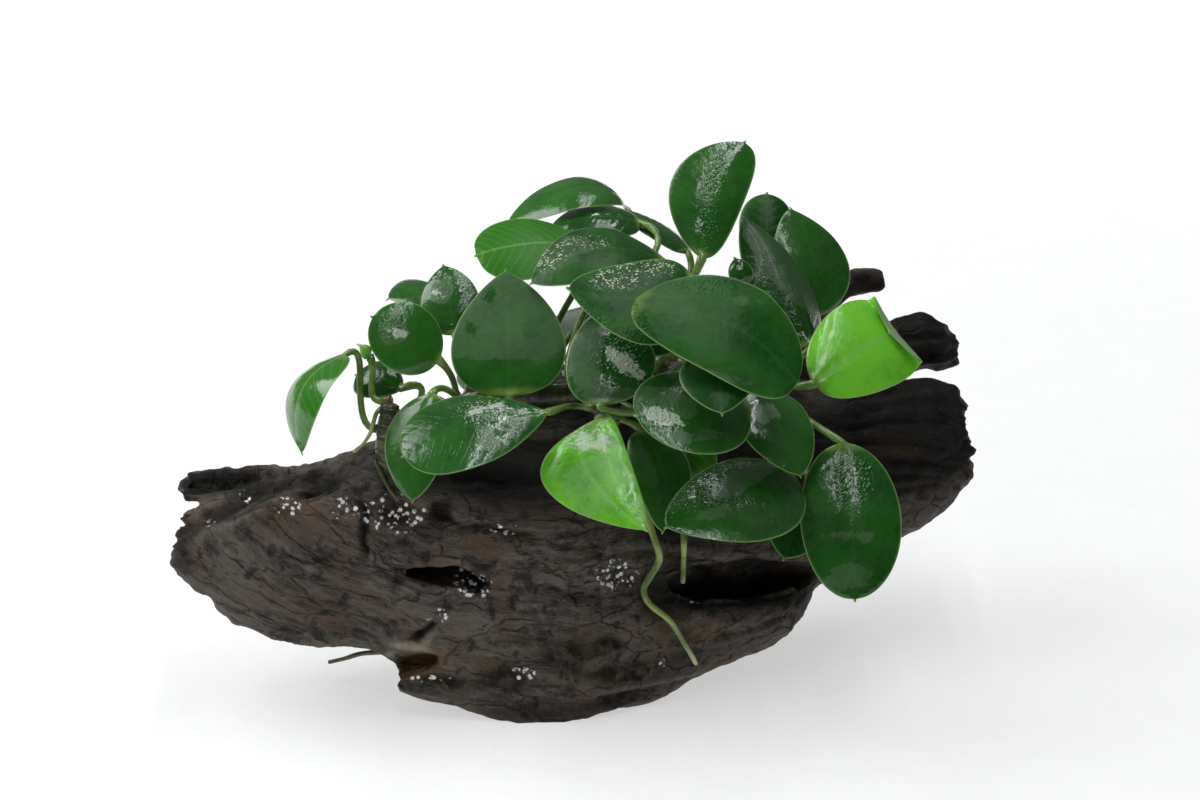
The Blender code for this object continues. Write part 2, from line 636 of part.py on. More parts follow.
def make_plant(parts, log, log_clearance, finishes):
    """The rhizomes, the leaves and the roots."""
    for name, limb in RHIZOMES.items():
        points = [Vector(place) * MM for place in limb.places]
        cut_with(make_limb(name, points, limb, parts, finishes["rhizome_green"]), log_clearance)
    for leaf in LEAVES:
        make_leaf(leaf, parts, finishes["young_leaf" if leaf.young else "mature_leaf"])
    surface = wood_surface(log)
    for name, places in WOOD_ROOTS.items():
        make_root(name, [on_wood(surface, place) for place in places], parts, finishes["root_green"])
    for name, places in FREE_ROOTS.items():
        make_root(name, [from_view(place) for place in places], parts, finishes["root_green"])


def main():
    clear_scene()
    parts = make_collection("anubias_on_driftwood")
    cutters = make_collection("cutters")
    finishes = {name: make_material(name, *finish) for name, finish in FINISHES.items()}
    log, log_clearance = make_wood(parts, cutters, finishes["wet_driftwood"])
    make_plant(parts, log, log_clearance, finishes)


main()
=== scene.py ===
"""The looks of a small anubias grown onto driftwood: its leaves, creeping stems, roots and wet wood.

Metres, +Z up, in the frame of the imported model. The plant is seen from the -Y side, looking slightly down.
"""

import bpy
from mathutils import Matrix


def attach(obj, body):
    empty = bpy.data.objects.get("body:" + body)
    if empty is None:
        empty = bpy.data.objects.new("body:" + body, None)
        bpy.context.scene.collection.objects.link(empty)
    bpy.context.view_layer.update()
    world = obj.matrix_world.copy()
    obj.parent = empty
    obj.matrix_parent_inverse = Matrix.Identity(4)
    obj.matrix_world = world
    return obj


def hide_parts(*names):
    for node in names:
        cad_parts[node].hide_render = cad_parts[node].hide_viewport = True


bl_info = {
    "name": "Anubias on Driftwood",
    "version": (1, 0, 0),
    "blender": (4, 5, 0),
    "location": "View3D > Sidebar > Anubias",
    "description": "Dresses the packed anubias in detailed leaves, stems, roots and wet driftwood",
    "category": "Object",
}

import math
from typing import NamedTuple

import bmesh
import bpy
import numpy as np
from bpy.props import FloatProperty, FloatVectorProperty, IntProperty, PointerProperty
from bpy.types import Operator, Panel, PropertyGroup
from mathutils import Matrix, Vector, noise
from mathutils.bvhtree import BVHTree

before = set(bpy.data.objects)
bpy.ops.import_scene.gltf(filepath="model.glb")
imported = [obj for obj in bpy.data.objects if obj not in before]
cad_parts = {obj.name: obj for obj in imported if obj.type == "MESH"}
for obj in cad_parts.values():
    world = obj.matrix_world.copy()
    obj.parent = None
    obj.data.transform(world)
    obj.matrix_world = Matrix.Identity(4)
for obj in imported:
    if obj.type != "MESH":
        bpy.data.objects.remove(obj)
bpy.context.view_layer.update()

MM = 0.001

# The photograph's view. A place given as (right pixel, down pixel, nearness) lies on the sight line of that
# pixel of the 1200 x 800 frame, as many millimetres nearer to the viewer as its third number says.
FRAME_PX = (1200, 800)
FRAME_WIDTH = 0.210
PIXEL = FRAME_WIDTH / FRAME_PX[0]
VIEW_CENTRE = Vector((0.005, 0.0, 0.052))
VIEW_ELEVATION = math.radians(20)
VIEW_DISTANCE = 0.600
VIEW_RIGHT = Vector((1, 0, 0))
VIEW_UP = Vector((0, math.sin(VIEW_ELEVATION), math.cos(VIEW_ELEVATION)))
VIEW_TOWARDS = Vector((0, -math.cos(VIEW_ELEVATION), math.sin(VIEW_ELEVATION)))
SENSOR_WIDTH = 36.0

# How far along a smooth path its direction is measured, in steps of its points
AHEAD = 0.05


# Sizes and colours that a user would change

def length(name, description, millimetres):
    return FloatProperty(
        name=name,
        description=description,
        default=millimetres * MM,
        min=0,
        precision=5,
        subtype="DISTANCE",
        unit="LENGTH",
    )


def share(name, description, value):
    return FloatProperty(name=name, description=description, default=value, min=0, max=1, subtype="FACTOR")


def colour(name, description, value):
    return FloatVectorProperty(
        name=name, description=description, default=value, size=3, min=0, max=1, subtype="COLOR"
    )


def power(name, description, watts):
    return FloatProperty(
        name=name, description=description, default=watts, min=0, subtype="POWER", unit="POWER"
    )


def count(name, description, value, low, high):
    return IntProperty(name=name, description=description, default=value, min=low, max=high)


class WoodSettings(PropertyGroup):
    voxel: length("Voxel", "Size of the wood's surface cells", 0.56)
    grain_depth: length("Grain depth", "How deep the long grain is weathered out", 0.42)
    fine_grain_depth: length("Fine grain depth", "How deep the fine grain is weathered out", 0.26)
    crumble_depth: length("Crumble depth", "How deep the small crumbly pits are", 0.24)
    lump_height: length("Lump height", "How far the soft lumps stand out", 0.45)
    # The dark wood is also the colour of the painted shade
    dark: colour("Dark wood", "Soaked wood in the hollows", (0.0050, 0.0042, 0.0032))
    brown: colour("Brown wood", "Soaked wood on the open faces", (0.110, 0.092, 0.075))
    grey: colour("Grey wood", "Weathered grain tips", (0.220, 0.196, 0.168))
    warm: colour("Warm wood", "The browner patches", (0.125, 0.083, 0.056))
    gloss: share("Roughness", "How rough the wet wood is", 0.46)
    film: share("Water film", "How much of a wet film lies over the wood", 0.05)


class LeafSettings(PropertyGroup):
    around: count("Around", "Points round each leaf", 48, 8, 96)
    blade_rings: count("Blade rings", "Rings along each blade", 60, 8, 96)
    stalk_rings: count("Stalk rings", "Rings along each stalk", 18, 4, 40)
    thickness: length("Blade half thickness", "Half of a blade's thickness in its middle", 0.26)
    midrib: length("Midrib depth", "How deep the groove over the midrib is", 0.16)
    vein: length("Vein height", "How high the ground between the side veins swells", 0.028)
    vein_spacing: length("Vein spacing", "From one side vein to the next", 1.9)
    wave: length("Edge wave", "How far the edges wave up and down", 0.42)
    deep: colour("Deep green", "Mature blades", (0.0065, 0.050, 0.0060))
    mid: colour("Middle green", "Mature blades where they are lighter", (0.024, 0.120, 0.014))
    young: colour("Young green", "Young blades", (0.150, 0.50, 0.030))
    young_deep: colour("Young deep green", "Young blades where they are darker", (0.026, 0.140, 0.010))
    pale: colour("Edge green", "The thin pale line round each blade", (0.26, 0.42, 0.15))
    under: colour("Underside", "The lower face of the blades", (0.060, 0.17, 0.040))
    young_under: colour("Young underside", "The lower face of the young blades", (0.20, 0.31, 0.15))
    # The haze is also the colour of the painted sheen on some blades
    haze_and_sheen: colour("Haze", "The dried film on some blades", (0.150, 0.215, 0.130))
    stalk: colour("Stalk green", "The stalks", (0.074, 0.148, 0.016))


class StemSettings(PropertyGroup):
    stem: colour("Rhizome", "The creeping stems", (0.042, 0.062, 0.012))
    stem_shade: colour("Rhizome mottling", "The browner places on the creeping stems", (0.016, 0.018, 0.007))
    scar: colour("Scars", "The old leaf scars round the creeping stems", (0.022, 0.014, 0.007))
    root: colour("Root", "The roots", (0.24, 0.31, 0.075))
    root_shade: colour("Older root", "The older parts of the roots", (0.10, 0.15, 0.035))
    ring_spacing: length("Ring spacing", "From one leaf scar to the next", 1.7)


class StageSettings(PropertyGroup):
    key: power("Key light", "The large soft light above and behind, at the left", 3.2)
    tube: power("Tube light", "Each of the two long lights overhead, which make the gloss", 1.0)
    fill: power("Fill light", "The broad soft light at the front left", 0.9)
    sky: FloatProperty(name="Sky", description="Strength of the white room's light", default=0.44, min=0)
    mirrored: share("Mirrored sky", "How much of the room's light shows in the gloss", 0.55)
    floor: colour("Floor", "The pale floor", (0.42, 0.43, 0.425))
    glow: share("Floor glow", "Light from the lit floor itself, which keeps its shadows pale", 0.54)


# The leaves. Places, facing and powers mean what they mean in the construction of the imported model.

class Leaf(NamedTuple):
    """A leaf with its stalk, which starts a share of the way along its rhizome.

    Base and tip are places in the photograph's view, and so is the way that it faces: right, up and towards
    the viewer. Width, arch, cup, bend, sway and elbow are millimetres. Fullness holds two powers: the higher,
    the slimmer the blade is near its base, and near its tip. Bend bows the blade to its right, as seen from
    its face with the tip up. A bow under 1 puts the most of the arch and the bend nearer to the base. Sway
    moves the stalk's lower bend in the world, and elbow is its upper bend in the view, counted from the base.
    Crease is how sharply the cup is folded along the midrib: 2 is round, 1 a straight fold. Flap is from
    where along the blade its tip folds over the face, and by how many degrees. Shade makes its green lighter
    or deeper: partly the leaf's own tone, partly painted shade on leaves that lie in shadow. A dull leaf has
    dried off.
    """

    name: str
    base: tuple
    tip: tuple
    faces: tuple
    width: float
    along: float
    rhizome: str = "rhizome_main"
    arch: float = 1.5
    cup: float = -1.0
    bend: float = 0.0
    fullness: tuple = (0.5, 0.7)
    bow: float = 1.0
    sway: tuple = (0.0, 0.0, 0.0)
    elbow: tuple = ()
    young: bool = False
    crease: float = 2.0
    flap: tuple = (1.0, 0.0)
    shade: float = 0.0
    dull: bool = False


LEAVES = (
    Leaf("leaf_front_large", (634, 303, 24), (799, 385, 27), (0.05, 0.5, 0.86), 19, 0.85, bend=-3.6,
         fullness=(0.5, 0.42), sway=(-1, -10, -4), elbow=(9, -14, 4), dull=True),
    Leaf("leaf_middle_gritty", (695, 283, 10), (566, 288, 14), (-0.1, 0.65, 0.75), 20, 0.8, bend=-4.6,
         shade=-0.15, dull=True),
    Leaf("leaf_middle_under", (685, 331, -1), (600, 338, 1), (-0.1, 0.6, 0.8), 11, 0.7, shade=-0.4),
    Leaf("leaf_upper_gritty", (666, 262, -4), (529, 286, 3), (-0.1, 0.75, 0.65), 17, 0.64, arch=3.8, bend=2.0,
         shade=-0.3, dull=True),
    Leaf("leaf_upright_left", (510, 396, 8), (506, 269, 0), (-0.05, 0.3, 0.95), 20, 0.15,
         fullness=(0.45, 0.8), dull=True),
    Leaf("leaf_left_back_young", (585, 244, -12), (474, 257, -7), (-0.1, 0.7, 0.7), 16.5, 0.35,
         fullness=(0.5, 0.38), elbow=(6, -1, -3), young=True, shade=-0.8, dull=True),
    Leaf("leaf_back_arched", (624, 207, -28), (506, 224, -23), (-0.1, 0.85, 0.5), 13, 0.43, arch=5.2, bow=0.6,
         sway=(2, 2, -3), elbow=(6, -2, -11), shade=0.35),
    Leaf("leaf_back_shaded", (640, 222, -20), (548, 228, -18), (0, 0.8, 0.6), 12, 0.5, sway=(-2, -8, 0),
         elbow=(12, -4, 4), shade=-0.3),
    Leaf("leaf_back_narrow", (688, 252, -20), (627, 210, -26), (0.3, 0.9, 0.3), 10, 0.78, arch=0.8),
    Leaf("leaf_top", (702, 258, -4), (746, 141, -10), (-0.05, 0.15, 0.98), 13.5, 0.74, bend=-3.2,
         fullness=(0.6, 0.52), shade=0.2),
    Leaf("leaf_rear_top", (765, 262, -28), (767, 192, -32), (0, 0.3, 0.95), 10, 0.9, fullness=(0.5, 0.45),
         shade=-0.3, dull=True),
    Leaf("leaf_back_right", (808, 318, -18), (790, 207, -26), (0.3, 0.3, 0.9), 15, 0.96, bend=2, shade=0.25),
    Leaf("leaf_folded", (812, 345, -8), (742, 215, -14), (0.4, 0.5, 0.75), 13.5, 0.92, cup=-4.0, bend=1.8,
         crease=1.15, shade=-0.3),
    Leaf("leaf_small_inner", (745, 285, -8), (734, 257, -10), (0, 0.4, 0.9), 4.5, 0.84),
    Leaf("leaf_centre", (601, 405, 12.5), (598, 312, 3), (0, 0.45, 0.9), 15.5, 0.3, rhizome="rhizome_front",
         bend=2.0, sway=(3, -7, -1), elbow=(-2, -1, 1)),
    Leaf("leaf_front_lower", (748, 404, 15), (633, 416, 24), (0, 0.6, 0.8), 19, 0.78, bend=-1.0,
         fullness=(0.5, 0.5), elbow=(-1, -3, -4)),
    # Painted shade: this leaf lies in shadow
    Leaf("leaf_front_domed", (715, 352, 19), (722, 416, 30), (0, 0.45, 0.9), 13, 0.72, shade=-0.6, dull=True),
    Leaf("leaf_right_middle", (758, 388, 4), (801, 478, 14), (0.3, 0.5, 0.8), 14, 0.87, bend=0.5),
    Leaf("leaf_front_grooved", (790, 470, 6), (664, 528, 22), (-0.1, 0.6, 0.8), 19.5, 0.82, bend=-2.4),
    Leaf("leaf_right_young", (814, 384, 2), (906, 328, -6), (0.1, 0.3, 0.95), 17.3, 0.95, bend=-0.9,
         fullness=(0.46, 0.25), young=True, flap=(0.87, 150), shade=0.5),
    Leaf("leaf_right_hanging", (843, 443, 6), (855, 602, 12), (0, 0.25, 0.97), 17.5, 1.0, bend=-0.3,
         fullness=(0.5, 0.5), elbow=(-6, 4, -4)),
    Leaf("leaf_front_young", (598, 420, 17), (648, 532, 27), (-0.15, 0.45, 0.88), 15.3, 0.98,
         rhizome="rhizome_front", bend=5.3, bow=0.5, fullness=(0.34, 0.8), sway=(0, -1, -2), young=True,
         shade=0.3),
    Leaf("leaf_front_shaded", (640, 430, 7), (662, 534, 13), (0, 0.4, 0.9), 10, 0.8, rhizome="rhizome_front",
         bend=-2.2),
    Leaf("leaf_front_small", (688, 436, 4), (679, 493, 5), (0, 0.5, 0.85), 11.5, 0.68, young=True,
         shade=-0.5),
    Leaf("leaf_front_left", (548, 412, 17), (401, 456, 25), (-0.1, 0.7, 0.7), 18, 0.9,
         rhizome="rhizome_front", bend=0.8, fullness=(0.85, 0.5)),
    Leaf("leaf_left_hanging", (432, 394, 12), (412, 503, 18), (-0.3, 0.3, 0.9), 12, 0.03, bend=0.8,
         shade=0.25),
    Leaf("leaf_left_round", (439, 360, 6), (370, 316, 8), (-0.1, 0.4, 0.9), 12.7, 0.0, fullness=(0.5, 0.5),
         shade=0.4),
    Leaf("leaf_left_upper", (456, 334, 0), (443, 264, -6), (-0.1, 0.4, 0.9), 10.5, 0.07),
    Leaf("leaf_left_behind", (446, 292, -16), (386, 300, -12), (-0.1, 0.85, 0.5), 13, 0.1),
    Leaf("leaf_left_lower", (402, 388, 5), (355, 375, 0), (0, 0.5, 0.85), 8, 0.6, rhizome="rhizome_left",
         fullness=(0.6, 0.4), sway=(0, 0, -2), elbow=(8, 3, -1), shade=-0.3),
    Leaf("leaf_left_bud", (370, 357, 9), (357, 344, 10), (0, 0.5, 0.85), 2.4, 1.0, rhizome="rhizome_left",
         young=True),
    Leaf("leaf_far_left", (345, 355, 8), (303, 456, 10), (-0.72, 0.5, 0.45), 14, 0.6, rhizome="rhizome_left",
         arch=4.8, elbow=(5, 4, -2), young=True, shade=-0.95),
    Leaf("leaf_right_shaded", (812, 490, -2), (783, 561, 6), (0, 0.4, 0.9), 12, 0.9),
    # The leaves that the photograph hides, round the back of the plant
    Leaf("leaf_rear_left", (520, 330, -22), (455, 318, -34), (-0.3, 0.6, -0.7), 13, 0.2),
    Leaf("leaf_rear_left_low", (520, 366, -23), (464, 392, -35), (-0.3, 0.7, -0.6), 14, 0.25),
    Leaf("leaf_rear_middle", (600, 306, -26), (592, 356, -42), (0, 0.6, -0.8), 16, 0.4),
    Leaf("leaf_rear_high", (655, 268, -32), (642, 304, -48), (0, 0.7, -0.7), 15, 0.62),
    Leaf("leaf_rear_right", (735, 312, -30), (745, 352, -46), (0.1, 0.6, -0.8), 15, 0.88),
    Leaf("leaf_rear_low_middle", (650, 354, -26), (655, 400, -40), (0, 0.4, -0.9), 15, 0.5),
    Leaf("leaf_rear_low_left", (575, 366, -23), (558, 408, -36), (-0.2, 0.4, -0.9), 14, 0.33),
    Leaf("leaf_rear_low_right", (706, 354, -31), (714, 394, -46), (0.1, 0.5, -0.8), 13, 0.7),
)

STALK_LOWER_BEND = 0.4
STALK_UPPER_BEND = 0.35
STALK_GAP = 0.45 * MM
STALK_SUNK = 1.6 * MM
STALK_AHEAD = 0.02
STALK_RADIUS = 0.58 * MM
SHEATH_RADIUS = 0.9 * MM
SHEATH_SHARE = 0.16
NECK_SHARE = 0.07
NECK_HALF_WIDTH = 0.9 * MM
NECK_HALF_THICKNESS = 0.55 * MM
TIP_HALF_THICKNESS = 0.12 * MM
TIP_HALF_WIDTH = 0.16 * MM
MIDRIB_HALF_WIDTH = 0.5 * MM
MIDRIB_KEEL = 1.9
EDGE_LINE = 0.17 * MM
WAVE_SIZE = 7.5 * MM
NIB_LENGTH = 0.5 * MM
NIB_HALF_WIDTH = 0.3 * MM
FLAP_BEND = 0.6 * MM
# The broad wave over a blade, against the wave of its edges: how fine and how high
BROAD_WAVE = 0.6
BROAD_WAVE_SHARE = 0.8
# How far the side veins sweep towards the tip, and how much more so out at the edges
VEIN_SWEEP = 0.55
VEIN_CURVE = 0.035
TINT_SPREAD = 0.3
# What is noted on a stalk, in millimetres from the midrib, so that no midrib shows on it
OFF_BLADE = 9.0


class Patch(NamedTuple):
    """A soft patch of the photograph's view: its middle and its half lengths in pixels, how far it is tilted
    anticlockwise in degrees, and how strong it is."""

    middle: tuple
    half: tuple
    tilt: float = 0.0
    amount: float = 1.0


def patches(*rows):
    """Patches from rows of their middle, their half lengths and what follows."""
    return tuple(Patch((x, y), (wide, high), *rest) for x, y, wide, high, *rest in rows)


# A dried film and painted sheen on some leaves, broken by wetter patches (below 0)
HAZE_AND_SHEEN = {
    "leaf_upright_left": patches(
        (505, 325, 62, 78), (490, 296, 13, 11, 0, -0.8), (532, 328, 16, 13, 40, -0.8),
        (500, 374, 58, 17, 0, -0.9), (475, 330, 10, 16, 0, -0.5),
    ),
    "leaf_centre": patches((588, 358, 22, 40), (622, 364, 24, 18, 0, -0.9), (622, 396, 26, 9)),
    "leaf_front_left": patches((420, 436, 18, 14, 30, 0.5)),
    "leaf_middle_gritty": patches((656, 274, 30, 9, 10, 0.35)),
    "leaf_upper_gritty": patches((560, 252, 44, 22, 20, 0.6)),
    "leaf_front_large": patches(
        (668, 305, 40, 18, -25, 0.7), (706, 374, 56, 7, -14, 0.7), (752, 300, 30, 12, 0, 0.4),
    ),
    "leaf_front_lower": patches((662, 404, 36, 18, -10, 0.95), (700, 436, 36, 8, 5, 0.6)),
    "leaf_folded": patches((782, 262, 18, 60, 38, 1.4)),
    "leaf_back_right": patches((835, 270, 8, 34, 0, -0.6)),
    "leaf_front_grooved": patches((742, 480, 44, 12, 24, 0.8), (712, 514, 34, 9, 16, 0.6)),
    "leaf_left_hanging": patches((400, 422, 14, 22, 0, 1.0)),
    "leaf_left_round": patches((394, 332, 18, 16, 0, 0.8)),
    "leaf_left_upper": patches((442, 290, 14, 14, 0, 0.9)),
    "leaf_front_young": patches((592, 484, 34, 42, -35, 0.75), (588, 440, 26, 9, 0, 1.2)),
    "leaf_right_hanging": patches((850, 536, 40, 10, 0, 0.45), (850, 574, 34, 20, 0, 0.6)),
    "leaf_right_middle": patches((766, 412, 16, 14, 0, 0.6)),
}

# Fine beads of wet on some leaves
DEW = {
    "leaf_right_hanging": patches((841, 482, 7, 20), (866, 480, 7, 20)),
    "leaf_centre": patches((622, 358, 26, 24)),
    "leaf_top": patches((706, 226, 12, 20), (714, 174, 9, 22, -15, 0.7)),
    "leaf_front_lower": patches((662, 412, 26, 16)),
    "leaf_left_round": patches((392, 330, 14, 14)),
    "leaf_left_upper": patches((442, 286, 10, 14)),
    "leaf_front_large": patches((640, 318, 8, 26, 20, 0.8), (700, 285, 34, 8, 0, 0.5)),
    "leaf_upright_left": patches((500, 290, 22, 16, 0, 0.3)),
    "leaf_front_left": patches((480, 412, 46, 14, 10, 0.2)),
    "leaf_front_young": patches((584, 440, 22, 14, 0, 0.6)),
    "leaf_middle_gritty": patches((620, 330, 50, 10, -30, 0.6)),
    "leaf_front_grooved": patches((690, 500, 26, 14, 30, 0.7)),
}

# Painted highlights, pale and broken into flakes
PAINTED_HIGHLIGHTS = {
    "leaf_centre": patches((624, 363, 30, 11, -38, 1.0)),
    "leaf_front_lower": patches((664, 417, 28, 11, -16, 0.9)),
    "leaf_front_young": patches((592, 441, 26, 13, -6, 0.8)),
    "leaf_front_left": patches((484, 409, 30, 5, 12, 0.8)),
    "leaf_top": patches((700, 224, 8, 13, -10, 0.7)),
    "leaf_left_upper": patches((438, 292, 9, 9, 0, 0.7)),
    "leaf_left_round": patches((397, 333, 14, 8, 0, 0.7)),
    "leaf_middle_under": patches((612, 334, 18, 8, 0, 0.7)),
}

# Fine lime grit dried onto some leaves
GRIT = {
    "leaf_middle_gritty": patches((626, 272, 34, 15, 12), (672, 268, 14, 8, 0, 0.5)),
    "leaf_upper_gritty": patches((548, 256, 20, 13, 20), (590, 242, 30, 8, 0, 0.4)),
    "leaf_front_left": patches((478, 404, 30, 8, 10, 0.35)),
}

# The grit, films, painted sheen and painted highlights noted on each blade
FILMS_AND_HIGHLIGHTS = {"leaf_grit": GRIT, "leaf_haze": HAZE_AND_SHEEN, "leaf_dew": DEW, "leaf_lime": PAINTED_HIGHLIGHTS}


# The creeping stems, in world millimetres, and the roots

class Limb(NamedTuple):
    """A stem's places and its radius at each, in millimetres."""

    places: tuple
    radii: tuple


RHIZOMES = {
    "rhizome_main": Limb(
        ((-20, 3, 50.5), (-9, 3, 51.5), (4, 6, 52), (17, 11, 52), (32, 17, 52)),
        (2.0, 2.9, 3.1, 3.0, 2.2),
    ),
    "rhizome_front": Limb(((7, -1.2, 51), (6, -4.6, 52.3), (5, -8, 53.2)), (2.1, 2.2, 1.6)),
    "rhizome_left": Limb(((-31, -11.5, 42), (-31.5, -11, 49), (-31, -9.5, 55)), (2.1, 2.2, 1.6)),
}
RHIZOME_RINGS = 90
RHIZOME_AROUND = 40
RHIZOME_LUMPS = 0.22 * MM
RHIZOME_LUMP_SIZE = 2.4 * MM
RHIZOME_ROUNDING = 14
RHIZOME_END_LEAST = 0.02
SCAR_DEPTH = 0.16 * MM
SCAR_SHARPNESS = 6
SCAR_WANDER = 0.9

ROOT_RADIUS = 0.7 * MM
ROOT_TAPER = 0.35
ROOT_RINGS = 110
ROOT_AROUND = 16
ROOT_WAVE = 0.12 * MM
ROOT_WAVE_SIZE = 4.0 * MM
# Where the noise starts for the wander in x, y and z. A noise vector would start elsewhere each run.
ROOT_WAVE_STARTS = (Vector((0, 0, 0)), Vector((31.4, 7.7, 3.1)), Vector((5.2, 43.8, 17.6)))
ROOT_SWELL = 0.16
ROOT_SWELL_SIZE = ROOT_WAVE_SIZE * 0.7
ROOT_TIP_SHARE = 0.12
ROOT_END_SHARE = 0.03
ROOT_END_LEAST = 0.08
# How thick and how old the thinner roots are, against the others
ROOT_WIDTHS = {"root_left_arc": 0.6, "root_left_small": 0.6, "root_under": 0.75}
ROOT_AGES = {"root_left_small": 1.0, "root_under": 0.8}
WOOD_ROOTS = {
    "root_front_long": (
        (616, 446, 1.6), (632, 482, 1.6), (645, 512, 1.8), (656, 545, 1.8), (659, 560, 2.0), (650, 577, 1.8),
        (644, 590, 1.6), (650, 605, 2.0), (668, 619, 3.0), (677, 631, 3.0), (687, 648, 2.4), (697, 665, 1.6),
    ),
    "root_front_short": ((680, 500, 1.8), (683, 530, 1.8), (684, 548, 2.6), (683, 583, 4.2)),
    "root_left_small": ((376, 460, 1.2), (381, 474, 0.9), (389, 488, 0.8), (399, 501, 0.8)),
}
FREE_ROOTS = {
    "root_left_arc": (
        (386, 404, 9), (377, 412, 10.5), (373, 423, 10.5), (370, 434, 10), (362, 445, 9.5), (353, 452, 9),
    ),
    "root_under": ((385, 652, -11), (366, 653, -13), (346, 658, -14), (328, 662, -15)),
}


# The marks in the wood, as the photograph's view sees them

class Mark(NamedTuple):
    """A line along the wood: its places in pixels, its half width and its depth in millimetres. A depth under
    0 is a ridge. A ledge stands out above its line and falls back below it, and dies out over its fade."""

    line: tuple
    half_width: float
    depth: float
    fade: float = 0.0


MARKS = (
    # The left end: the ridge between the front face and the dished top, with the top's streaks
    Mark(((188, 541), (226, 528), (262, 508), (300, 488), (335, 470), (368, 448)), 1.3, -0.9),
    Mark(((262, 500), (292, 483), (324, 472)), 0.7, -0.8),
    Mark(((216, 532), (250, 514), (285, 493), (330, 478)), 0.6, 0.9),
    Mark(((186, 520), (228, 503), (262, 488), (300, 478)), 0.5, 0.6),
    Mark(((190, 492), (228, 484), (262, 476), (310, 470)), 0.6, 0.7),
    Mark(((204, 474), (238, 468), (262, 471), (300, 467)), 0.6, -0.5),
    Mark(((345, 460), (325, 477), (304, 498)), 0.9, 1.3),
    # The front face at the left
    Mark(((362, 496), (366, 516), (363, 540), (370, 562)), 0.5, 1.3),
    Mark(((182, 578), (236, 602), (300, 628)), 0.8, -0.35),
    Mark(((262, 607), (282, 616), (302, 631)), 0.5, 0.6),
    Mark(((196, 556), (214, 572), (246, 590), (280, 602)), 0.5, 0.35),
    Mark(((240, 540), (262, 556), (300, 570), (330, 590)), 0.5, 0.3),
    # The scoop and what lies round it
    Mark(((386, 567), (408, 569), (432, 567), (456, 562), (476, 571), (489, 588)), 0.8, 1.0, 1.6),
    Mark(((388, 568), (412, 570), (434, 568)), 0.5, 0.8),
    Mark(((430, 494), (440, 514), (462, 527), (488, 526), (515, 535), (548, 534)), 0.8, 1.0),
    Mark(((448, 488), (480, 500), (506, 520)), 1.1, -0.5),
    Mark(((474, 482), (508, 500), (532, 526)), 1.1, -0.45),
    Mark(((383, 624), (398, 620), (414, 621)), 0.6, 0.7),
    Mark(((440, 620), (421, 634), (402, 647)), 0.8, 1.5),
    Mark(((440, 602), (470, 606), (505, 600)), 0.7, 0.4),
    Mark(((524, 583), (545, 588), (564, 592)), 0.5, 0.6),
    Mark(((556, 596), (580, 599), (604, 596)), 0.7, 0.6),
    Mark(((585, 552), (612, 557), (652, 549)), 0.6, 0.6),
    Mark(((520, 560), (560, 556), (590, 562)), 0.5, 0.35),
    # The foot
    Mark(((584, 698), (640, 687), (684, 677), (704, 672)), 0.7, 1.0, 2.0),
    Mark(((440, 680), (500, 690), (560, 694)), 0.7, 0.4),
    Mark(((505, 668), (540, 660), (590, 664)), 0.7, 0.35),
    # The wavy ledge over the right groove
    Mark(((636, 546), (668, 549), (700, 557), (725, 561), (750, 556), (790, 562), (820, 562)), 0.9, 1.2, 2.4),
    Mark(((640, 536), (690, 541), (740, 546), (800, 548)), 0.5, 0.5),
    Mark(((652, 566), (690, 568), (716, 575)), 0.6, 0.6),
    # The lower right lip
    Mark(((700, 653), (745, 641), (792, 622)), 0.5, 0.6),
    Mark(((705, 641), (750, 630), (797, 611)), 0.6, 0.7),
    Mark(((728, 661), (760, 652), (788, 642)), 0.5, 0.4),
    # The right arm
    Mark(((818, 418), (870, 404), (930, 396), (962, 392)), 1.0, -0.7),
    Mark(((824, 432), (890, 423), (968, 420)), 0.6, 0.7),
    Mark(((836, 444), (900, 444), (970, 450)), 0.5, 0.5),
    Mark(((856, 458), (915, 462), (968, 468)), 0.6, 0.6),
    Mark(((872, 474), (915, 476), (958, 481)), 0.5, 0.7),
    Mark(((884, 492), (920, 488), (950, 484)), 0.5, 0.8),
    Mark(((904, 532), (930, 509), (952, 485)), 0.8, -1.0),
    Mark(((840, 404), (880, 396), (912, 384)), 0.6, 0.6),
)

DENTS = patches(
    (212, 482, 36, 9, 4, 1.6), (226, 513, 40, 9, 20, 0.9), (395, 514, 28, 17, 0, 0.9),
    (326, 487, 24, 8, 30, 1.3), (441, 512, 12, 20, -40, 1.1), (500, 478, 44, 14, 0, 1.6),
    (452, 574, 30, 9, -8, 0.4), (478, 586, 14, 10, 0, 1.0), (735, 592, 84, 17, 4, 1.6),
    (736, 577, 22, 7, -22, -1.2), (620, 575, 20, 14, 0, 0.5), (575, 590, 24, 10, 0, 0.5),
    (556, 660, 26, 16, 8, 0.5), (956, 389, 9, 8, 0, -0.8), (240, 560, 40, 22, -30, -0.5),
    (330, 600, 40, 20, 0, 0.5),
)
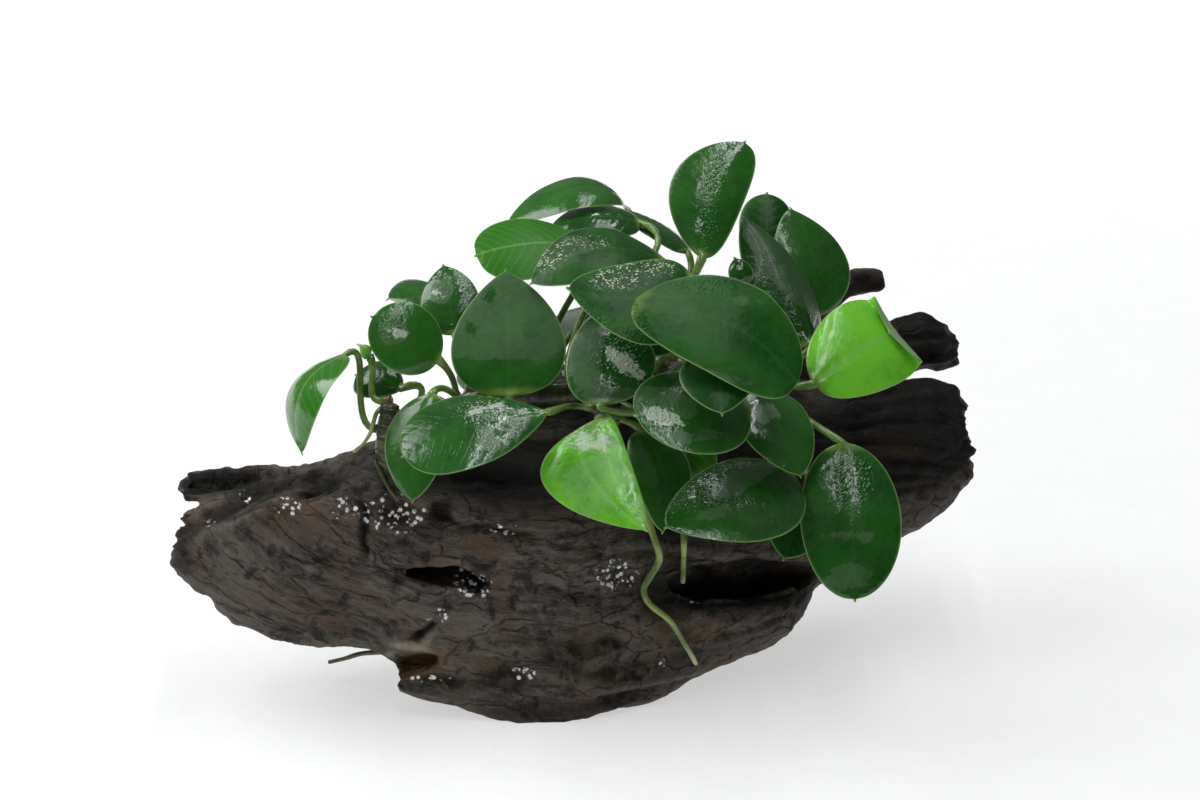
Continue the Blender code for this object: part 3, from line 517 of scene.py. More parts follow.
# Soft patches of the wood's colour and wetness, and of painted light
WOOD_PATCHES = {
    # Wet places, glossier and beaded, which also carry painted white glints
    "wood_wet": patches(
        (394, 514, 30, 18), (343, 508, 16, 9, 20), (289, 508, 12, 7), (245, 497, 6, 5), (209, 521, 6, 7),
        (472, 582, 20, 14, -20), (437, 615, 11, 8, 0, 0.7), (505, 530, 14, 6, 0, 0.8), (617, 575, 20, 14),
        (522, 674, 14, 6, 0, 0.8), (662, 663, 4, 4, 0, 0.8), (440, 679, 14, 3, 0, 0.7),
        (690, 600, 14, 6, 0, 0.5),
    ),
    "wood_olive": patches(
        (505, 680, 26, 13, 0, 1.2), (565, 656, 24, 18, 0, 1.2), (608, 646, 16, 12, 0, 1.2),
        (622, 672, 44, 11, 4, 1.2), (660, 597, 18, 22, 0, 0.9), (436, 682, 40, 11, -6, 1.1),
        (690, 654, 30, 8, 14, 0.8),
    ),
    "wood_rust": patches((422, 664, 22, 14, 10), (700, 632, 26, 10, 12, 0.35), (890, 450, 30, 8, 0, 0.14)),
    # Paler grain, and painted highlights along lit ridges, ledge rims and the right arm's edges
    "wood_pale": patches(
        (292, 477, 34, 6, 18), (238, 598, 64, 13, -24, 0.8), (740, 640, 54, 12, 18, 0.6),
        (645, 684, 50, 4, 11, 0.8), (722, 554, 70, 7, -4, 0.5), (885, 405, 60, 10, 8, 0.5),
        (928, 509, 36, 6, 45, 1.3), (505, 506, 50, 16, -30, 0.4),
    ),
    # Painted shade: the dished top, the groove, the right arm, and the wood under the plant and the foot
    "wood_dark": patches(
        (214, 481, 50, 14, 4, 1.4), (248, 504, 66, 12, 26, 1.0), (322, 484, 26, 12, 20),
        (452, 568, 38, 5, -4, 0.8), (500, 500, 60, 20, -8, 0.55), (520, 466, 120, 26, 0, 1.2),
        (690, 470, 150, 66, 0, 1.0), (736, 588, 110, 24, 3), (900, 440, 120, 60, 8, 1.3),
        (905, 350, 80, 60, 0, 1.4), (865, 282, 30, 16, 0, 0.7), (960, 520, 30, 20, 30, 0.5),
        (560, 712, 120, 12, 2, 0.7), (402, 672, 20, 22, 0, 0.6), (363, 530, 5, 34, 0, 0.7),
        (180, 520, 12, 50, 0, 0.6), (700, 530, 90, 14, 0, 0.4),
    ),
    "wood_bare": patches((408, 647, 20, 4, -8), (384, 655, 12, 3, 10, 0.8), (426, 641, 8, 4, 40, 0.7)),
    "wood_warm": patches(
        (300, 514, 60, 26, 0, 1.2), (540, 520, 40, 14, 0, 0.9), (290, 600, 60, 16, -20, 0.8),
        (196, 560, 16, 40, 0, 0.7),
    ),
}


class Pull(NamedTuple):
    """Wood drawn out or in: the middle in pixels, the reach in pixels, and the move to the right and up in
    millimetres."""

    middle: tuple
    reach: float
    move: tuple


PULLS = (
    Pull((426, 686), 16, (-4.4, 0.3)),
    Pull((424, 662), 11, (2.4, 0.0)),
    Pull((186, 486), 7, (-0.8, 0.0)),
    Pull((178, 524), 6, (1.0, 0.0)),
    Pull((300, 640), 16, (0.0, 0.8)),
    Pull((204, 606), 10, (0.9, 0.9)),
    Pull((236, 622), 7, (-0.6, -0.7)),
)
WOOD_PIECES = ("driftwood_log", "driftwood_branch", "driftwood_stub")
LIMB_SWELL = 0.45 * MM
WELD = 0.01 * MM
SMOOTH_STEPS = 5
SLIT = Patch((186, 506), (12, 5), 24)
SLIT_REACH = 60
SLIT_SIDES = 14
GRAIN_SIZE = Vector((30, 3.4, 2.9)) * MM
MEDIUM_GRAIN_SIZE = GRAIN_SIZE * 0.45
MEDIUM_GRAIN_START = Vector((7, 3, 1))
FINE_GRAIN_SIZE = Vector((11, 1.5, 1.25)) * MM
LUMP_SIZE = Vector((13, 8, 7)) * MM
CRUMBLE_SIZE = Vector((3.2, 1.9, 1.7)) * MM
CRUMB_SIZE = CRUMBLE_SIZE.y * 0.5
# How much of the grain's depth its ridges and its medium waves make, and the crumbs of the crumble's
RIDGE_SHARE = 0.8
MEDIUM_SHARE = 0.5
CRUMB_SHARE = 0.5
# How soon a mark fades on wood that turns away from the viewer, how steeply it rises from its two ends, what
# it has at the very end, and how sharp a ledge is
SEEN_STEEPNESS = 3
MARK_END_STEEPNESS = 5
MARK_END_LEAST = 0.12
LEDGE_SHARPNESS = 1.2
# How much the grain counts against the marks in how deep a crevice is, and how much painted shade a
# millimetre of it makes
CREVICE_SHADE_GRAIN = 0.6
CREVICE_SHADE_PER_MM = 0.9
END_RAGS = 2.4 * MM
END_RAG_SIZE = 1.9 * MM
END_RAG_BASE = 0.25
END_REACH = 5 * MM

# The slope of the grain along the wood: steep at the left end, level in the middle, rising at the right
GRAIN_SLOPES = ((-70, -0.75), (-45, -0.6), (-25, -0.2), (0, 0.0), (20, 0.18), (45, 0.22), (74, 0.05))


# Places and paths

def from_view(place):
    """The point that a place in the photograph's view stands for."""
    px, py, nearness = place
    near = nearness * MM
    spread = PIXEL * (VIEW_DISTANCE - near) / VIEW_DISTANCE
    across = VIEW_RIGHT * (px - FRAME_PX[0] / 2) + VIEW_UP * (FRAME_PX[1] / 2 - py)
    return VIEW_CENTRE + VIEW_TOWARDS * near + across * spread


def from_view_axes(vector):
    """A vector given as right, up and towards the viewer."""
    right, up, towards = vector
    return VIEW_RIGHT * right + VIEW_UP * up + VIEW_TOWARDS * towards


def to_view(places):
    """The pixels of an array of places, as one column each for right and down."""
    offsets = places - np.array(VIEW_CENTRE)
    near = offsets @ np.array(VIEW_TOWARDS)
    spread = PIXEL * (VIEW_DISTANCE - near) / VIEW_DISTANCE
    right = FRAME_PX[0] / 2 + offsets @ np.array(VIEW_RIGHT) / spread
    down = FRAME_PX[1] / 2 - offsets @ np.array(VIEW_UP) / spread
    return right, down


def smooth(values, at):
    """The value at a place, counted in steps, on a smooth curve through the values."""
    step = min(max(int(at), 0), len(values) - 2)
    part = at - step
    a, b, c, d = (values[min(max(step + i, 0), len(values) - 1)] for i in (-1, 0, 1, 2))
    slope = (c - a) * (part / 2)
    square = (a * 2 - b * 5 + c * 4 - d) * (part**2 / 2)
    cube = (b * 3 - a - c * 3 + d) * (part**3 / 2)
    return b + slope + square + cube


def bezier(points, at):
    a, b, c, d = points
    rest = 1 - at
    return a * rest**3 + b * (3 * rest**2 * at) + c * (3 * rest * at**2) + d * at**3


def path_direction(points, at):
    ahead = smooth(points, min(at + AHEAD, len(points) - 1))
    behind = smooth(points, max(at - AHEAD, 0))
    return (ahead - behind).normalized()


def path_frames(points, rings):
    """Even places on a smooth path, each with two sides across it."""
    frames = []
    for ring in range(rings):
        at = ring / (rings - 1) * (len(points) - 1)
        direction = path_direction(points, at)
        upright = Vector((0, 0, 1)) if abs(direction.z) < 0.9 else Vector((0, -1, 0))
        side = direction.cross(upright).normalized()
        frames.append((smooth(points, at), side, side.cross(direction)))
    return frames


def scaled(place, size):
    return Vector((place.x / size.x, place.y / size.y, place.z / size.z))


# Meshes

def as_mesh(name, bm):
    mesh = bpy.data.meshes.new(name)
    bm.to_mesh(mesh)
    bm.free()
    return mesh


def in_scene(name, data):
    thing = bpy.data.objects.new(name, data)
    bpy.context.scene.collection.objects.link(thing)
    return thing


def shaped_tube(name, rings, around, place):
    """A closed tube. From a vertex's ring and angle, place gives where it lies and what to note there."""
    bm = bmesh.new()
    middle = Matrix.Translation((0, 0, 0.5))
    bmesh.ops.create_cone(bm, cap_ends=True, segments=around, radius1=1, radius2=1, depth=1, matrix=middle)
    lengthwise = [edge for edge in bm.edges if round(edge.verts[0].co.z) != round(edge.verts[1].co.z)]
    bmesh.ops.subdivide_edges(bm, edges=lengthwise, cuts=rings - 2)
    _, sample = place(0, 0.0)
    layers = {key: bm.verts.layers.float.new(key) for key in sample}
    for vert in bm.verts:
        spot, notes = place(round(vert.co.z * (rings - 1)), math.atan2(vert.co.y, vert.co.x))
        for key, value in notes.items():
            vert[layers[key]] = value
        vert.co = spot
    if bm.calc_volume(signed=True) < 0:
        bmesh.ops.reverse_faces(bm, faces=bm.faces)
    return as_mesh(name, bm)


def finish(mesh, material, slot, *nodes):
    """The finished piece of a mesh, which takes the place of its nodes."""
    mesh.shade_smooth()
    mesh.materials.append(material)
    piece = in_scene(mesh.name, mesh)
    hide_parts(*nodes)
    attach(piece, "root")


# Materials

PAINTED_HIGHLIGHT_COLOUR = (0.52, 0.60, 0.50)
GRIT_COLOUR = (0.62, 0.62, 0.50)
SHEATH_COLOUR = (0.09, 0.06, 0.025)
PALE_GRAIN_AND_HIGHLIGHT = (0.150, 0.130, 0.110)
PALE_FLECKS = (0.200, 0.180, 0.155)
OLIVE = (0.013, 0.012, 0.004)
DEEP_RUST = (0.10, 0.045, 0.012)
PALE_RUST = (0.30, 0.17, 0.06)
BARE_WOOD = (0.42, 0.37, 0.27)
WHITE = (1.0, 1.0, 1.0)
STEM_FLAKES = (0.20, 0.18, 0.11)
ROOT_FUZZ = (0.33, 0.38, 0.16)
ROOT_TIP = (0.48, 0.52, 0.30)
OLD_ROOT = (0.035, 0.030, 0.012)
WATER_IOR = 1.33


class Gloss(NamedTuple):
    """How a leaf shines: its roughness at its smoothest and its roughest, its shine and its wet coat."""

    rough: tuple
    shine: float
    coat: float


WET_GLOSS = Gloss((0.09, 0.15), 0.42, 0.12)
DULL_GLOSS = Gloss((0.27, 0.34), 0.12, 0.0)


class Nodes:
    """The node tree of a material or a world, wired as its nodes are added."""

    def __init__(self, owner):
        owner.use_nodes = True
        self.tree = owner.node_tree

    def wire(self, node, inputs):
        for key, value in inputs.items():
            if isinstance(value, bpy.types.NodeSocket):
                self.tree.links.new(value, node.inputs[key])
            else:
                node.inputs[key].default_value = value

    def add(self, kind, inputs=None, output=0, **settings):
        """A new node's output."""
        node = self.tree.nodes.new("ShaderNode" + kind)
        for key, value in settings.items():
            setattr(node, key, value)
        self.wire(node, inputs or {})
        return node.outputs[output]

    def maths(self, operation, *values, clamp=False):
        return self.add("Math", dict(enumerate(values)), operation=operation, use_clamp=clamp)

    def times(self, first, second):
        return self.maths("MULTIPLY", first, second)

    def between(self, value, low, high, to_low=0.0, to_high=1.0):
        """A value from low to high, spread smoothly from to_low to to_high."""
        inputs = {"Value": value, "From Min": low, "From Max": high, "To Min": to_low, "To Max": to_high}
        return self.add("MapRange", inputs, interpolation_type="SMOOTHSTEP")


class Finish(Nodes):
    """A new material. The noises, cells and beads lie on places, and their sizes are metres."""

    def __init__(self, name):
        self.material = bpy.data.materials.new(name)
        super().__init__(self.material)
        self.shader = self.tree.nodes["Principled BSDF"]

    def place(self):
        """The place on the object."""
        return self.add("TexCoord", output="Object")

    def drawn_out(self, place, share):
        """A place whose first axis counts only for a share, which draws out what lies on it."""
        return self.add("Mapping", {"Vector": place, "Scale": (share, 1, 1)})

    def note(self, name, output="Fac"):
        """A value noted on the mesh."""
        return self.add("Attribute", output=output, attribute_name=name)

    def noise(self, place, size, detail=3.0, roughness=0.55, distortion=0.0):
        inputs = {"Vector": place, "Scale": 1 / size, "Detail": detail, "Roughness": roughness}
        return self.add("TexNoise", {**inputs, "Distortion": distortion})

    def cells(self, place, size, feature="F1"):
        return self.add("TexVoronoi", {"Vector": place, "Scale": 1 / size}, "Distance", feature=feature)

    def beads(self, place, size, wet):
        """Round beads, as high as it is wet."""
        return self.times(self.between(self.cells(place, size, "SMOOTH_F1"), 0.0, 0.55, 1.0, 0.0), wet)

    def grains(self, place, size, edge, groups, group_edge, amount):
        """Small grains in scattered groups. The groups are a noise, given as its size and detail."""
        grain = self.between(self.cells(place, size), *edge)
        grain = self.times(grain, self.between(self.noise(place, *groups), *group_edge))
        return self.times(grain, amount)

    def torn(self, film, ragged, much, low, high):
        """A film or painted highlight noted on the mesh, torn by a ragged noise."""
        film = self.maths("MULTIPLY_ADD", self.maths("SUBTRACT", ragged, 0.5), much, self.note(film))
        return self.between(film, low, high)

    def mix(self, factor, first, second):
        """Two colours mixed."""
        inputs = {0: factor, 6: self.whole(first), 7: self.whole(second)}
        return self.add("Mix", inputs, 2, data_type="RGBA")

    def whole(self, value):
        return value if isinstance(value, bpy.types.NodeSocket) else (*value, 1)

    def cover(self, body, colour, amount, most):
        """A body covered with a colour, by an amount times the most of it."""
        return self.mix(self.times(amount, most), body, colour)

    def bumps(self, *layers):
        """Bumps in layers, each given as its height, its distance and its strength."""
        below = {}
        for height, distance, strength in layers:
            inputs = {"Height": height, "Distance": distance, "Strength": strength, **below}
            below["Normal"] = self.add("Bump", inputs)
        return below["Normal"]

    def set(self, **sockets):
        """Sets the shader's sockets, named with _ for a space."""
        self.wire(self.shader, {key.replace("_", " "): value for key, value in sockets.items()})


def leaf_finish(name, settings, young, dull):
    """A wet or a dull blade, with its veins, midrib, pale edge, films, painted sheen and highlights, paler
    underside and stalk.
    """
    leaf = Finish(name)
    gloss = DULL_GLOSS if dull else WET_GLOSS
    place = leaf.place()
    across = leaf.maths("ABSOLUTE", leaf.note("leaf_across"))
    along = leaf.note("leaf_along")
    tint = leaf.note("leaf_tint")
    light, dark = (settings.young, settings.young_deep) if young else (settings.mid, settings.deep)
    blotches = leaf.noise(place, 9 * MM, 4.0)
    speckle = leaf.noise(place, 1.1 * MM, 3.0)
    shade = leaf.maths("MULTIPLY_ADD", leaf.between(blotches, 0.32, 0.68), 0.55, tint)
    shade = leaf.maths("MULTIPLY_ADD", leaf.between(speckle, 0.35, 0.65), 0.16, shade, clamp=True)
    green = leaf.mix(shade, dark, light)
    sweep = leaf.times(across, leaf.maths("MULTIPLY_ADD", across, VEIN_CURVE, VEIN_SWEEP))
    wobble = leaf.noise(place, 5 * MM, 2.0)
    wobble = leaf.maths("MULTIPLY_ADD", wobble, 0.9, leaf.maths("SUBTRACT", along, sweep))
    phase = leaf.times(wobble, math.tau / (settings.vein_spacing / MM))
    vein = leaf.between(leaf.maths("COSINE", phase), 0.86, 1.0)
    vein = leaf.times(vein, 0.16 if young else 0.22)
    green = leaf.mix(vein, green, light)
    midrib = leaf.between(across, 0.5, 0.12)
    green = leaf.cover(green, settings.pale if young else light, midrib, 0.28)
    # A dried film and painted sheen, torn and mottled
    haze_and_sheen = leaf.torn("leaf_haze", leaf.noise(place, 3.6 * MM, 6.0, 0.62, 0.4), 1.2, 0.34, 0.50)
    mottled = leaf.between(leaf.noise(place, 1.4 * MM, 5.0, 0.65), 0.25, 0.75, 0.55, 1.0)
    haze_and_sheen = leaf.times(haze_and_sheen, mottled)
    green = leaf.cover(green, settings.haze_and_sheen, haze_and_sheen, 0.24 if dull or young else 0.17)
    # Painted highlights, pale and torn into flakes
    painted_highlight = leaf.torn("leaf_lime", leaf.noise(place, 1.6 * MM, 5.0, 0.65), 2.2, 0.50, 0.72)
    green = leaf.cover(green, PAINTED_HIGHLIGHT_COLOUR, painted_highlight, 0.55)
    green = leaf.mix(leaf.note("leaf_under"), green, settings.young_under if young else settings.under)
    gritty = leaf.between(leaf.note("leaf_grit"), 0.05, 0.6)
    grit = leaf.grains(place, 0.48 * MM, (0.46, 0.28), (1.3 * MM, 3.0), (0.42, 0.56), gritty)
    green = leaf.mix(grit, green, GRIT_COLOUR)
    green = leaf.cover(green, settings.pale, leaf.note("leaf_edge"), 0.7)
    stalk = leaf.between(leaf.noise(place, 2.2 * MM), 0.3, 0.7, 0.0, 0.35)
    stalk = leaf.mix(stalk, settings.stalk, settings.pale)
    sheath = leaf.mix(leaf.between(leaf.note("leaf_sheath"), 0.0, 1.0), stalk, SHEATH_COLOUR)
    green = leaf.mix(leaf.note("leaf_stalk"), green, sheath)
    beads = leaf.beads(place, 0.55 * MM, leaf.note("leaf_dew"))
    ripple = leaf.noise(place, 2.1 * MM, 3.0, 0.5)
    film = leaf.noise(place, 0.5 * MM, 3.0, 0.6)
    film = leaf.times(leaf.between(leaf.noise(place, 5.5 * MM, 2.0), 0.46, 0.60), film)
    rough = leaf.between(blotches, 0.3, 0.7, *gloss.rough)
    rough = leaf.maths("MULTIPLY_ADD", haze_and_sheen, 0.30, rough)
    rough = leaf.maths("MULTIPLY_ADD", grit, 0.5, rough)
    normal = leaf.bumps(
        (ripple, 0.16 * MM, 0.55),
        (film, 0.10 * MM, 0.6),
        (vein, 0.05 * MM, 0.5),
        (beads, 0.22 * MM, 0.9),
        (grit, 0.12 * MM, 1.0),
    )
    leaf.set(Base_Color=green, Roughness=rough, Normal=normal, Metallic=0.0)
    leaf.set(Specular_IOR_Level=gloss.shine, Coat_Weight=gloss.coat, Coat_Roughness=0.05, Coat_IOR=WATER_IOR)
    leaf.set(Subsurface_Weight=0.15 if young else 0.05, Subsurface_Radius=(0.3, 1.0, 0.1))
    leaf.set(Subsurface_Scale=0.8 * MM)
    return leaf.material


def wood_finish(settings):
    """Soaked driftwood streaked brown and grey on its ridges, under a film, with painted shade near black in
    its hollows.
    """
    wood = Finish("wet_driftwood")
    flow = wood.note("wood_flow", "Vector")
    place = wood.place()
    grain_flow = wood.drawn_out(flow, 0.55)
    streaks = wood.noise(wood.drawn_out(flow, 0.16), 3.0 * MM, 7.0, 0.68, 0.6)
    threads = wood.noise(wood.drawn_out(flow, 0.30), 0.75 * MM, 6.0, 0.70, 0.3)
    grains = wood.noise(grain_flow, 0.42 * MM, 4.0, 0.65)
    bends = wood.add("TexNoise", {"Vector": flow, "Scale": 1 / (5 * MM), "Detail": 3.0}, "Color")
    bends = wood.add("VectorMath", {0: bends, "Scale": 3.0 * MM}, operation="SCALE")
    bent_flow = wood.add("VectorMath", {0: wood.drawn_out(flow, 0.33), 1: bends}, operation="ADD")
    blotches = wood.noise(place, 13 * MM, 6.0, 0.62, 0.5)
    tones = wood.noise(place, 4.2 * MM, 5.0, 0.65, 0.3)
    crevice_shade = wood.between(wood.note("wood_crevice"), 0.12, 1.0)
    body = wood.mix(wood.between(streaks, 0.33, 0.60), settings.dark, settings.brown)
    body = wood.cover(body, settings.grey, wood.between(threads, 0.46, 0.66), 0.60)
    body = wood.cover(body, settings.grey, wood.between(blotches, 0.42, 0.60), 0.35)
    warmth = wood.between(wood.noise(place, 9 * MM, 4.0), 0.46, 0.62)
    warmth = wood.maths("MAXIMUM", warmth, wood.note("wood_warm"))
    body = wood.cover(body, settings.warm, warmth, wood.between(tones, 0.35, 0.65))
    body = wood.cover(body, settings.dark, wood.between(tones, 0.48, 0.34), 0.75)
    pits = wood.between(wood.noise(grain_flow, 1.0 * MM, 5.0, 0.72), 0.57, 0.68)
    body = wood.cover(body, settings.dark, pits, 0.85)
    # Paler grain and painted highlights on the lit edges
    body = wood.cover(body, PALE_GRAIN_AND_HIGHLIGHT, wood.note("wood_pale"), wood.between(threads, 0.3, 0.6))
    body = wood.cover(body, PALE_FLECKS, wood.between(grains, 0.62, 0.74), 0.45)
    cracks = wood.between(wood.cells(bent_flow, 5.0 * MM, "DISTANCE_TO_EDGE"), 0.040, 0.0)
    cracks = wood.times(cracks, wood.between(tones, 0.40, 0.58))
    body = wood.cover(body, settings.dark, cracks, 0.66)
    body = wood.cover(body, OLIVE, wood.note("wood_olive"), wood.between(tones, 0.36, 0.56))
    # Painted shade: darker the deeper the crevice
    body = wood.cover(body, settings.dark, crevice_shade, 0.9)
    # Painted shade where the plant and the overhangs shade the wood
    body = wood.cover(body, settings.dark, wood.note("wood_dark"), 0.96)
    rust = wood.mix(wood.between(threads, 0.3, 0.7), DEEP_RUST, PALE_RUST)
    body = wood.mix(wood.note("wood_rust"), body, rust)
    body = wood.cover(body, BARE_WOOD, wood.note("wood_bare"), 0.85)
    wet = wood.note("wood_wet")
    beads = wood.beads(place, 0.62 * MM, wet)
    wetter = wood.between(wet, 0.16, 0.40)
    # Painted glints: white dots in the wettest places
    painted_glint = wood.grains(place, 1.0 * MM, (0.46, 0.30), (1.5 * MM, 2.0), (0.42, 0.51), wetter)
    body = wood.mix(painted_glint, body, WHITE)
    rough = wood.maths("MULTIPLY_ADD", wood.between(threads, 0.3, 0.7), 0.22, settings.gloss)
    rough = wood.maths("SUBTRACT", rough, wood.times(wet, 0.38), clamp=True)
    normal = wood.bumps(
        (streaks, 1.5 * MM, 0.7),
        (threads, 0.8 * MM, 0.9),
        (grains, 0.4 * MM, 0.9),
        (wood.maths("SUBTRACT", 1.0, cracks), 0.5 * MM, 0.8),
        (beads, 0.45 * MM, 1.0),
    )
    wood.set(Base_Color=body, Roughness=rough, Normal=normal, Metallic=0.0, Specular_IOR_Level=0.16)
    wood.set(Coat_Weight=settings.film, Coat_Roughness=0.18, Coat_IOR=WATER_IOR)
    return wood.material


def rhizome_finish(settings):
    """A green creeping stem with darker rings where old leaves stood."""
    stem = Finish("rhizome")
    place = stem.place()
    mottle = stem.noise(place, 2.6 * MM, 4.0, 0.6)
    body = stem.mix(stem.between(mottle, 0.42, 0.58), settings.stem, settings.stem_shade)
    flakes = stem.noise(place, 1.3 * MM, 4.0, 0.7)
    body = stem.cover(body, STEM_FLAKES, stem.between(flakes, 0.58, 0.66), 0.5)
    body = stem.mix(stem.note("stem_scar"), body, settings.scar)
    normal = stem.bumps((stem.noise(place, 0.7 * MM, 3.0), 0.15 * MM, 0.8))
    stem.set(Base_Color=body, Roughness=0.42, Normal=normal, Coat_Weight=0.3, Coat_Roughness=0.12)
    return stem.material


def root_finish(settings):
    """A yellow-green root, older and duller in stretches, with a pale growing tip."""
    root = Finish("root")
    place = root.place()
    age = root.between(root.noise(place, 6 * MM, 3.0), 0.42, 0.62)
    body = root.mix(age, settings.root, settings.root_shade)
    fuzz = root.noise(place, 0.5 * MM, 3.0, 0.6)
    body = root.cover(body, ROOT_FUZZ, root.between(fuzz, 0.5, 0.7), 0.4)
    body = root.mix(root.note("root_tip"), body, ROOT_TIP)
    body = root.cover(body, OLD_ROOT, root.note("root_age"), 0.9)
    normal = root.bumps((fuzz, 0.10 * MM, 0.8))
    root.set(Base_Color=body, Roughness=0.36, Normal=normal, Coat_Weight=0.3, Coat_Roughness=0.10)
    root.set(Subsurface_Weight=0.15, Subsurface_Radius=(0.6, 0.8, 0.2), Subsurface_Scale=0.8 * MM)
    return root.material


# The driftwood

def with_modifier(mesh, kind, **settings):
    """A mesh as a modifier leaves it."""
    piece = in_scene("draft", mesh)
    modifier = piece.modifiers.new("draft", kind)
    for key, value in settings.items():
        setattr(modifier, key, value)
    graph = bpy.context.evaluated_depsgraph_get()
    made = bpy.data.meshes.new_from_object(piece.evaluated_get(graph))
    bpy.data.objects.remove(piece)
    bpy.data.meshes.remove(mesh)
    return made


def slit_log(mesh):
    """The log with the daylight slit through its left end."""
    bm = bmesh.new()
    px, py = SLIT.middle
    near, far = from_view((px, py, SLIT_REACH)), from_view((px, py, -SLIT_REACH))
    tilt = math.radians(SLIT.tilt)
    right = (VIEW_RIGHT * math.cos(tilt) + VIEW_UP * math.sin(tilt)) * (SLIT.half[0] * PIXEL)
    up = (VIEW_UP * math.cos(tilt) - VIEW_RIGHT * math.sin(tilt)) * (SLIT.half[1] * PIXEL)
    bmesh.ops.create_cone(bm, cap_ends=True, segments=SLIT_SIDES, radius1=1, radius2=1, depth=1)
    for vert in bm.verts:
        vert.co = far.lerp(near, vert.co.z + 0.5) + right * vert.co.x + up * vert.co.y
    bmesh.ops.recalc_face_normals(bm, faces=bm.faces)
    blade = as_mesh("slit", bm)
    cutter = in_scene("slit", blade)
    cut = with_modifier(mesh, "BOOLEAN", operation="DIFFERENCE", solver="EXACT", object=cutter)
    bpy.data.objects.remove(cutter)
    bpy.data.meshes.remove(blade)
    return cut


def without_crumbs(mesh):
    """The mesh without the stray crumbs beside its largest shell."""
    bm = bmesh.new()
    bm.from_mesh(mesh)
    left = set(bm.verts)
    shells = []
    while left:
        shell = [left.pop()]
        for vert in shell:
            near = [edge.other_vert(vert) for edge in vert.link_edges]
            found = [other for other in near if other in left]
            left.difference_update(found)
            shell.extend(found)
        shells.append(shell)
    shells.remove(max(shells, key=len))
    bmesh.ops.delete(bm, geom=[vert for shell in shells for vert in shell], context="VERTS")
    bm.to_mesh(mesh)
    bm.free()
    return mesh


def rough_driftwood(settings):
    """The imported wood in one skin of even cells."""
    bm = bmesh.new()
    for name in WOOD_PIECES:
        part = bmesh.new()
        part.from_mesh(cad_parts[name].data)
        bmesh.ops.remove_doubles(part, verts=part.verts, dist=WELD)
        if name != WOOD_PIECES[0]:
            part.normal_update()
            for vert in part.verts:
                vert.co += vert.normal * LIMB_SWELL
        joined = as_mesh(name + "_copy", part)
        if name == WOOD_PIECES[0]:
            joined = slit_log(joined)
        bm.from_mesh(joined)
        bpy.data.meshes.remove(joined)
    mesh = as_mesh("driftwood_rough", bm)
    skin = without_crumbs(with_modifier(mesh, "REMESH", mode="VOXEL", voxel_size=settings.voxel))
    return with_modifier(skin, "SMOOTH", factor=0.5, iterations=SMOOTH_STEPS)


def grain_height(x):
    """How high the grain's line has come at each place along the wood, from its slopes."""
    stations = np.array([station for station, _ in GRAIN_SLOPES]) * MM
    slopes = np.array([slope for _, slope in GRAIN_SLOPES])
    heights = np.concatenate(([0], np.cumsum(np.diff(stations) * (slopes[1:] + slopes[:-1]) / 2)))
    return np.interp(x, stations, heights)


def distance_to_line(right, down, line):
    """How far each pixel is from a line, which side it is on (above is positive), and its place along it."""
    best = np.full(right.shape, np.inf)
    side = np.zeros(right.shape)
    along = np.zeros(right.shape)
    steps = [math.dist(a, b) for a, b in zip(line, line[1:], strict=False)]
    total = sum(steps)
    done = 0.0
    for (ax, ay), (bx, by), step in zip(line, line[1:], steps, strict=False):
        part = np.clip(((right - ax) * (bx - ax) + (down - ay) * (by - ay)) / step**2, 0, 1)
        away_x = right - (ax + part * (bx - ax))
        away_y = down - (ay + part * (by - ay))
        away = np.hypot(away_x, away_y)
        nearer = away < best
        best = np.where(nearer, away, best)
        cross = (bx - ax) * away_y - (by - ay) * away_x
        side = np.where(nearer, -np.sign(cross) * np.sign(bx - ax), side)
        along = np.where(nearer, (done + part * step) / total, along)
        done += step
    return best, side, along


def patch_weight(right, down, patch):
    """How much each pixel is in a soft patch."""
    turn = math.radians(patch.tilt)
    x = right - patch.middle[0]
    y = patch.middle[1] - down
    u = (x * math.cos(turn) + y * math.sin(turn)) / patch.half[0]
    v = (y * math.cos(turn) - x * math.sin(turn)) / patch.half[1]
    return patch.amount * np.exp(-((u**2 + v**2) ** 1.5))


def pulled(right, down):
    """How far each place is drawn out or in."""
    moves = np.zeros((len(right), 3))
    for pull in PULLS:
        away = np.hypot(right - pull.middle[0], down - pull.middle[1]) / pull.reach
        move = from_view_axes((*pull.move, 0)) * MM
        moves += np.exp(-(away**2))[:, None] * np.array(move)
    return moves


def seen(facing):
    """How much each place faces the viewer."""
    return np.clip(facing * SEEN_STEEPNESS, 0, 1)


def mark_depths(right, down, facing):
    """How deep the marks and the dents are at each place, in metres."""
    depth = np.zeros(right.shape)
    for mark in MARKS:
        away, side, along = distance_to_line(right, down, mark.line)
        away = away * (PIXEL / MM)
        ends = np.clip(np.minimum(along, 1 - along) * MARK_END_STEEPNESS + MARK_END_LEAST, 0, 1)
        if mark.fade:
            step = np.tanh(away * -side / mark.half_width * LEDGE_SHARPNESS)
            step *= np.exp(-((away / mark.fade) ** 2))
            depth += mark.depth * ends * step
        else:
            depth += mark.depth * ends * np.exp(-((away / mark.half_width) ** 2))
    for dent in DENTS:
        depth += patch_weight(right, down, dent)
    return depth * seen(facing) * MM


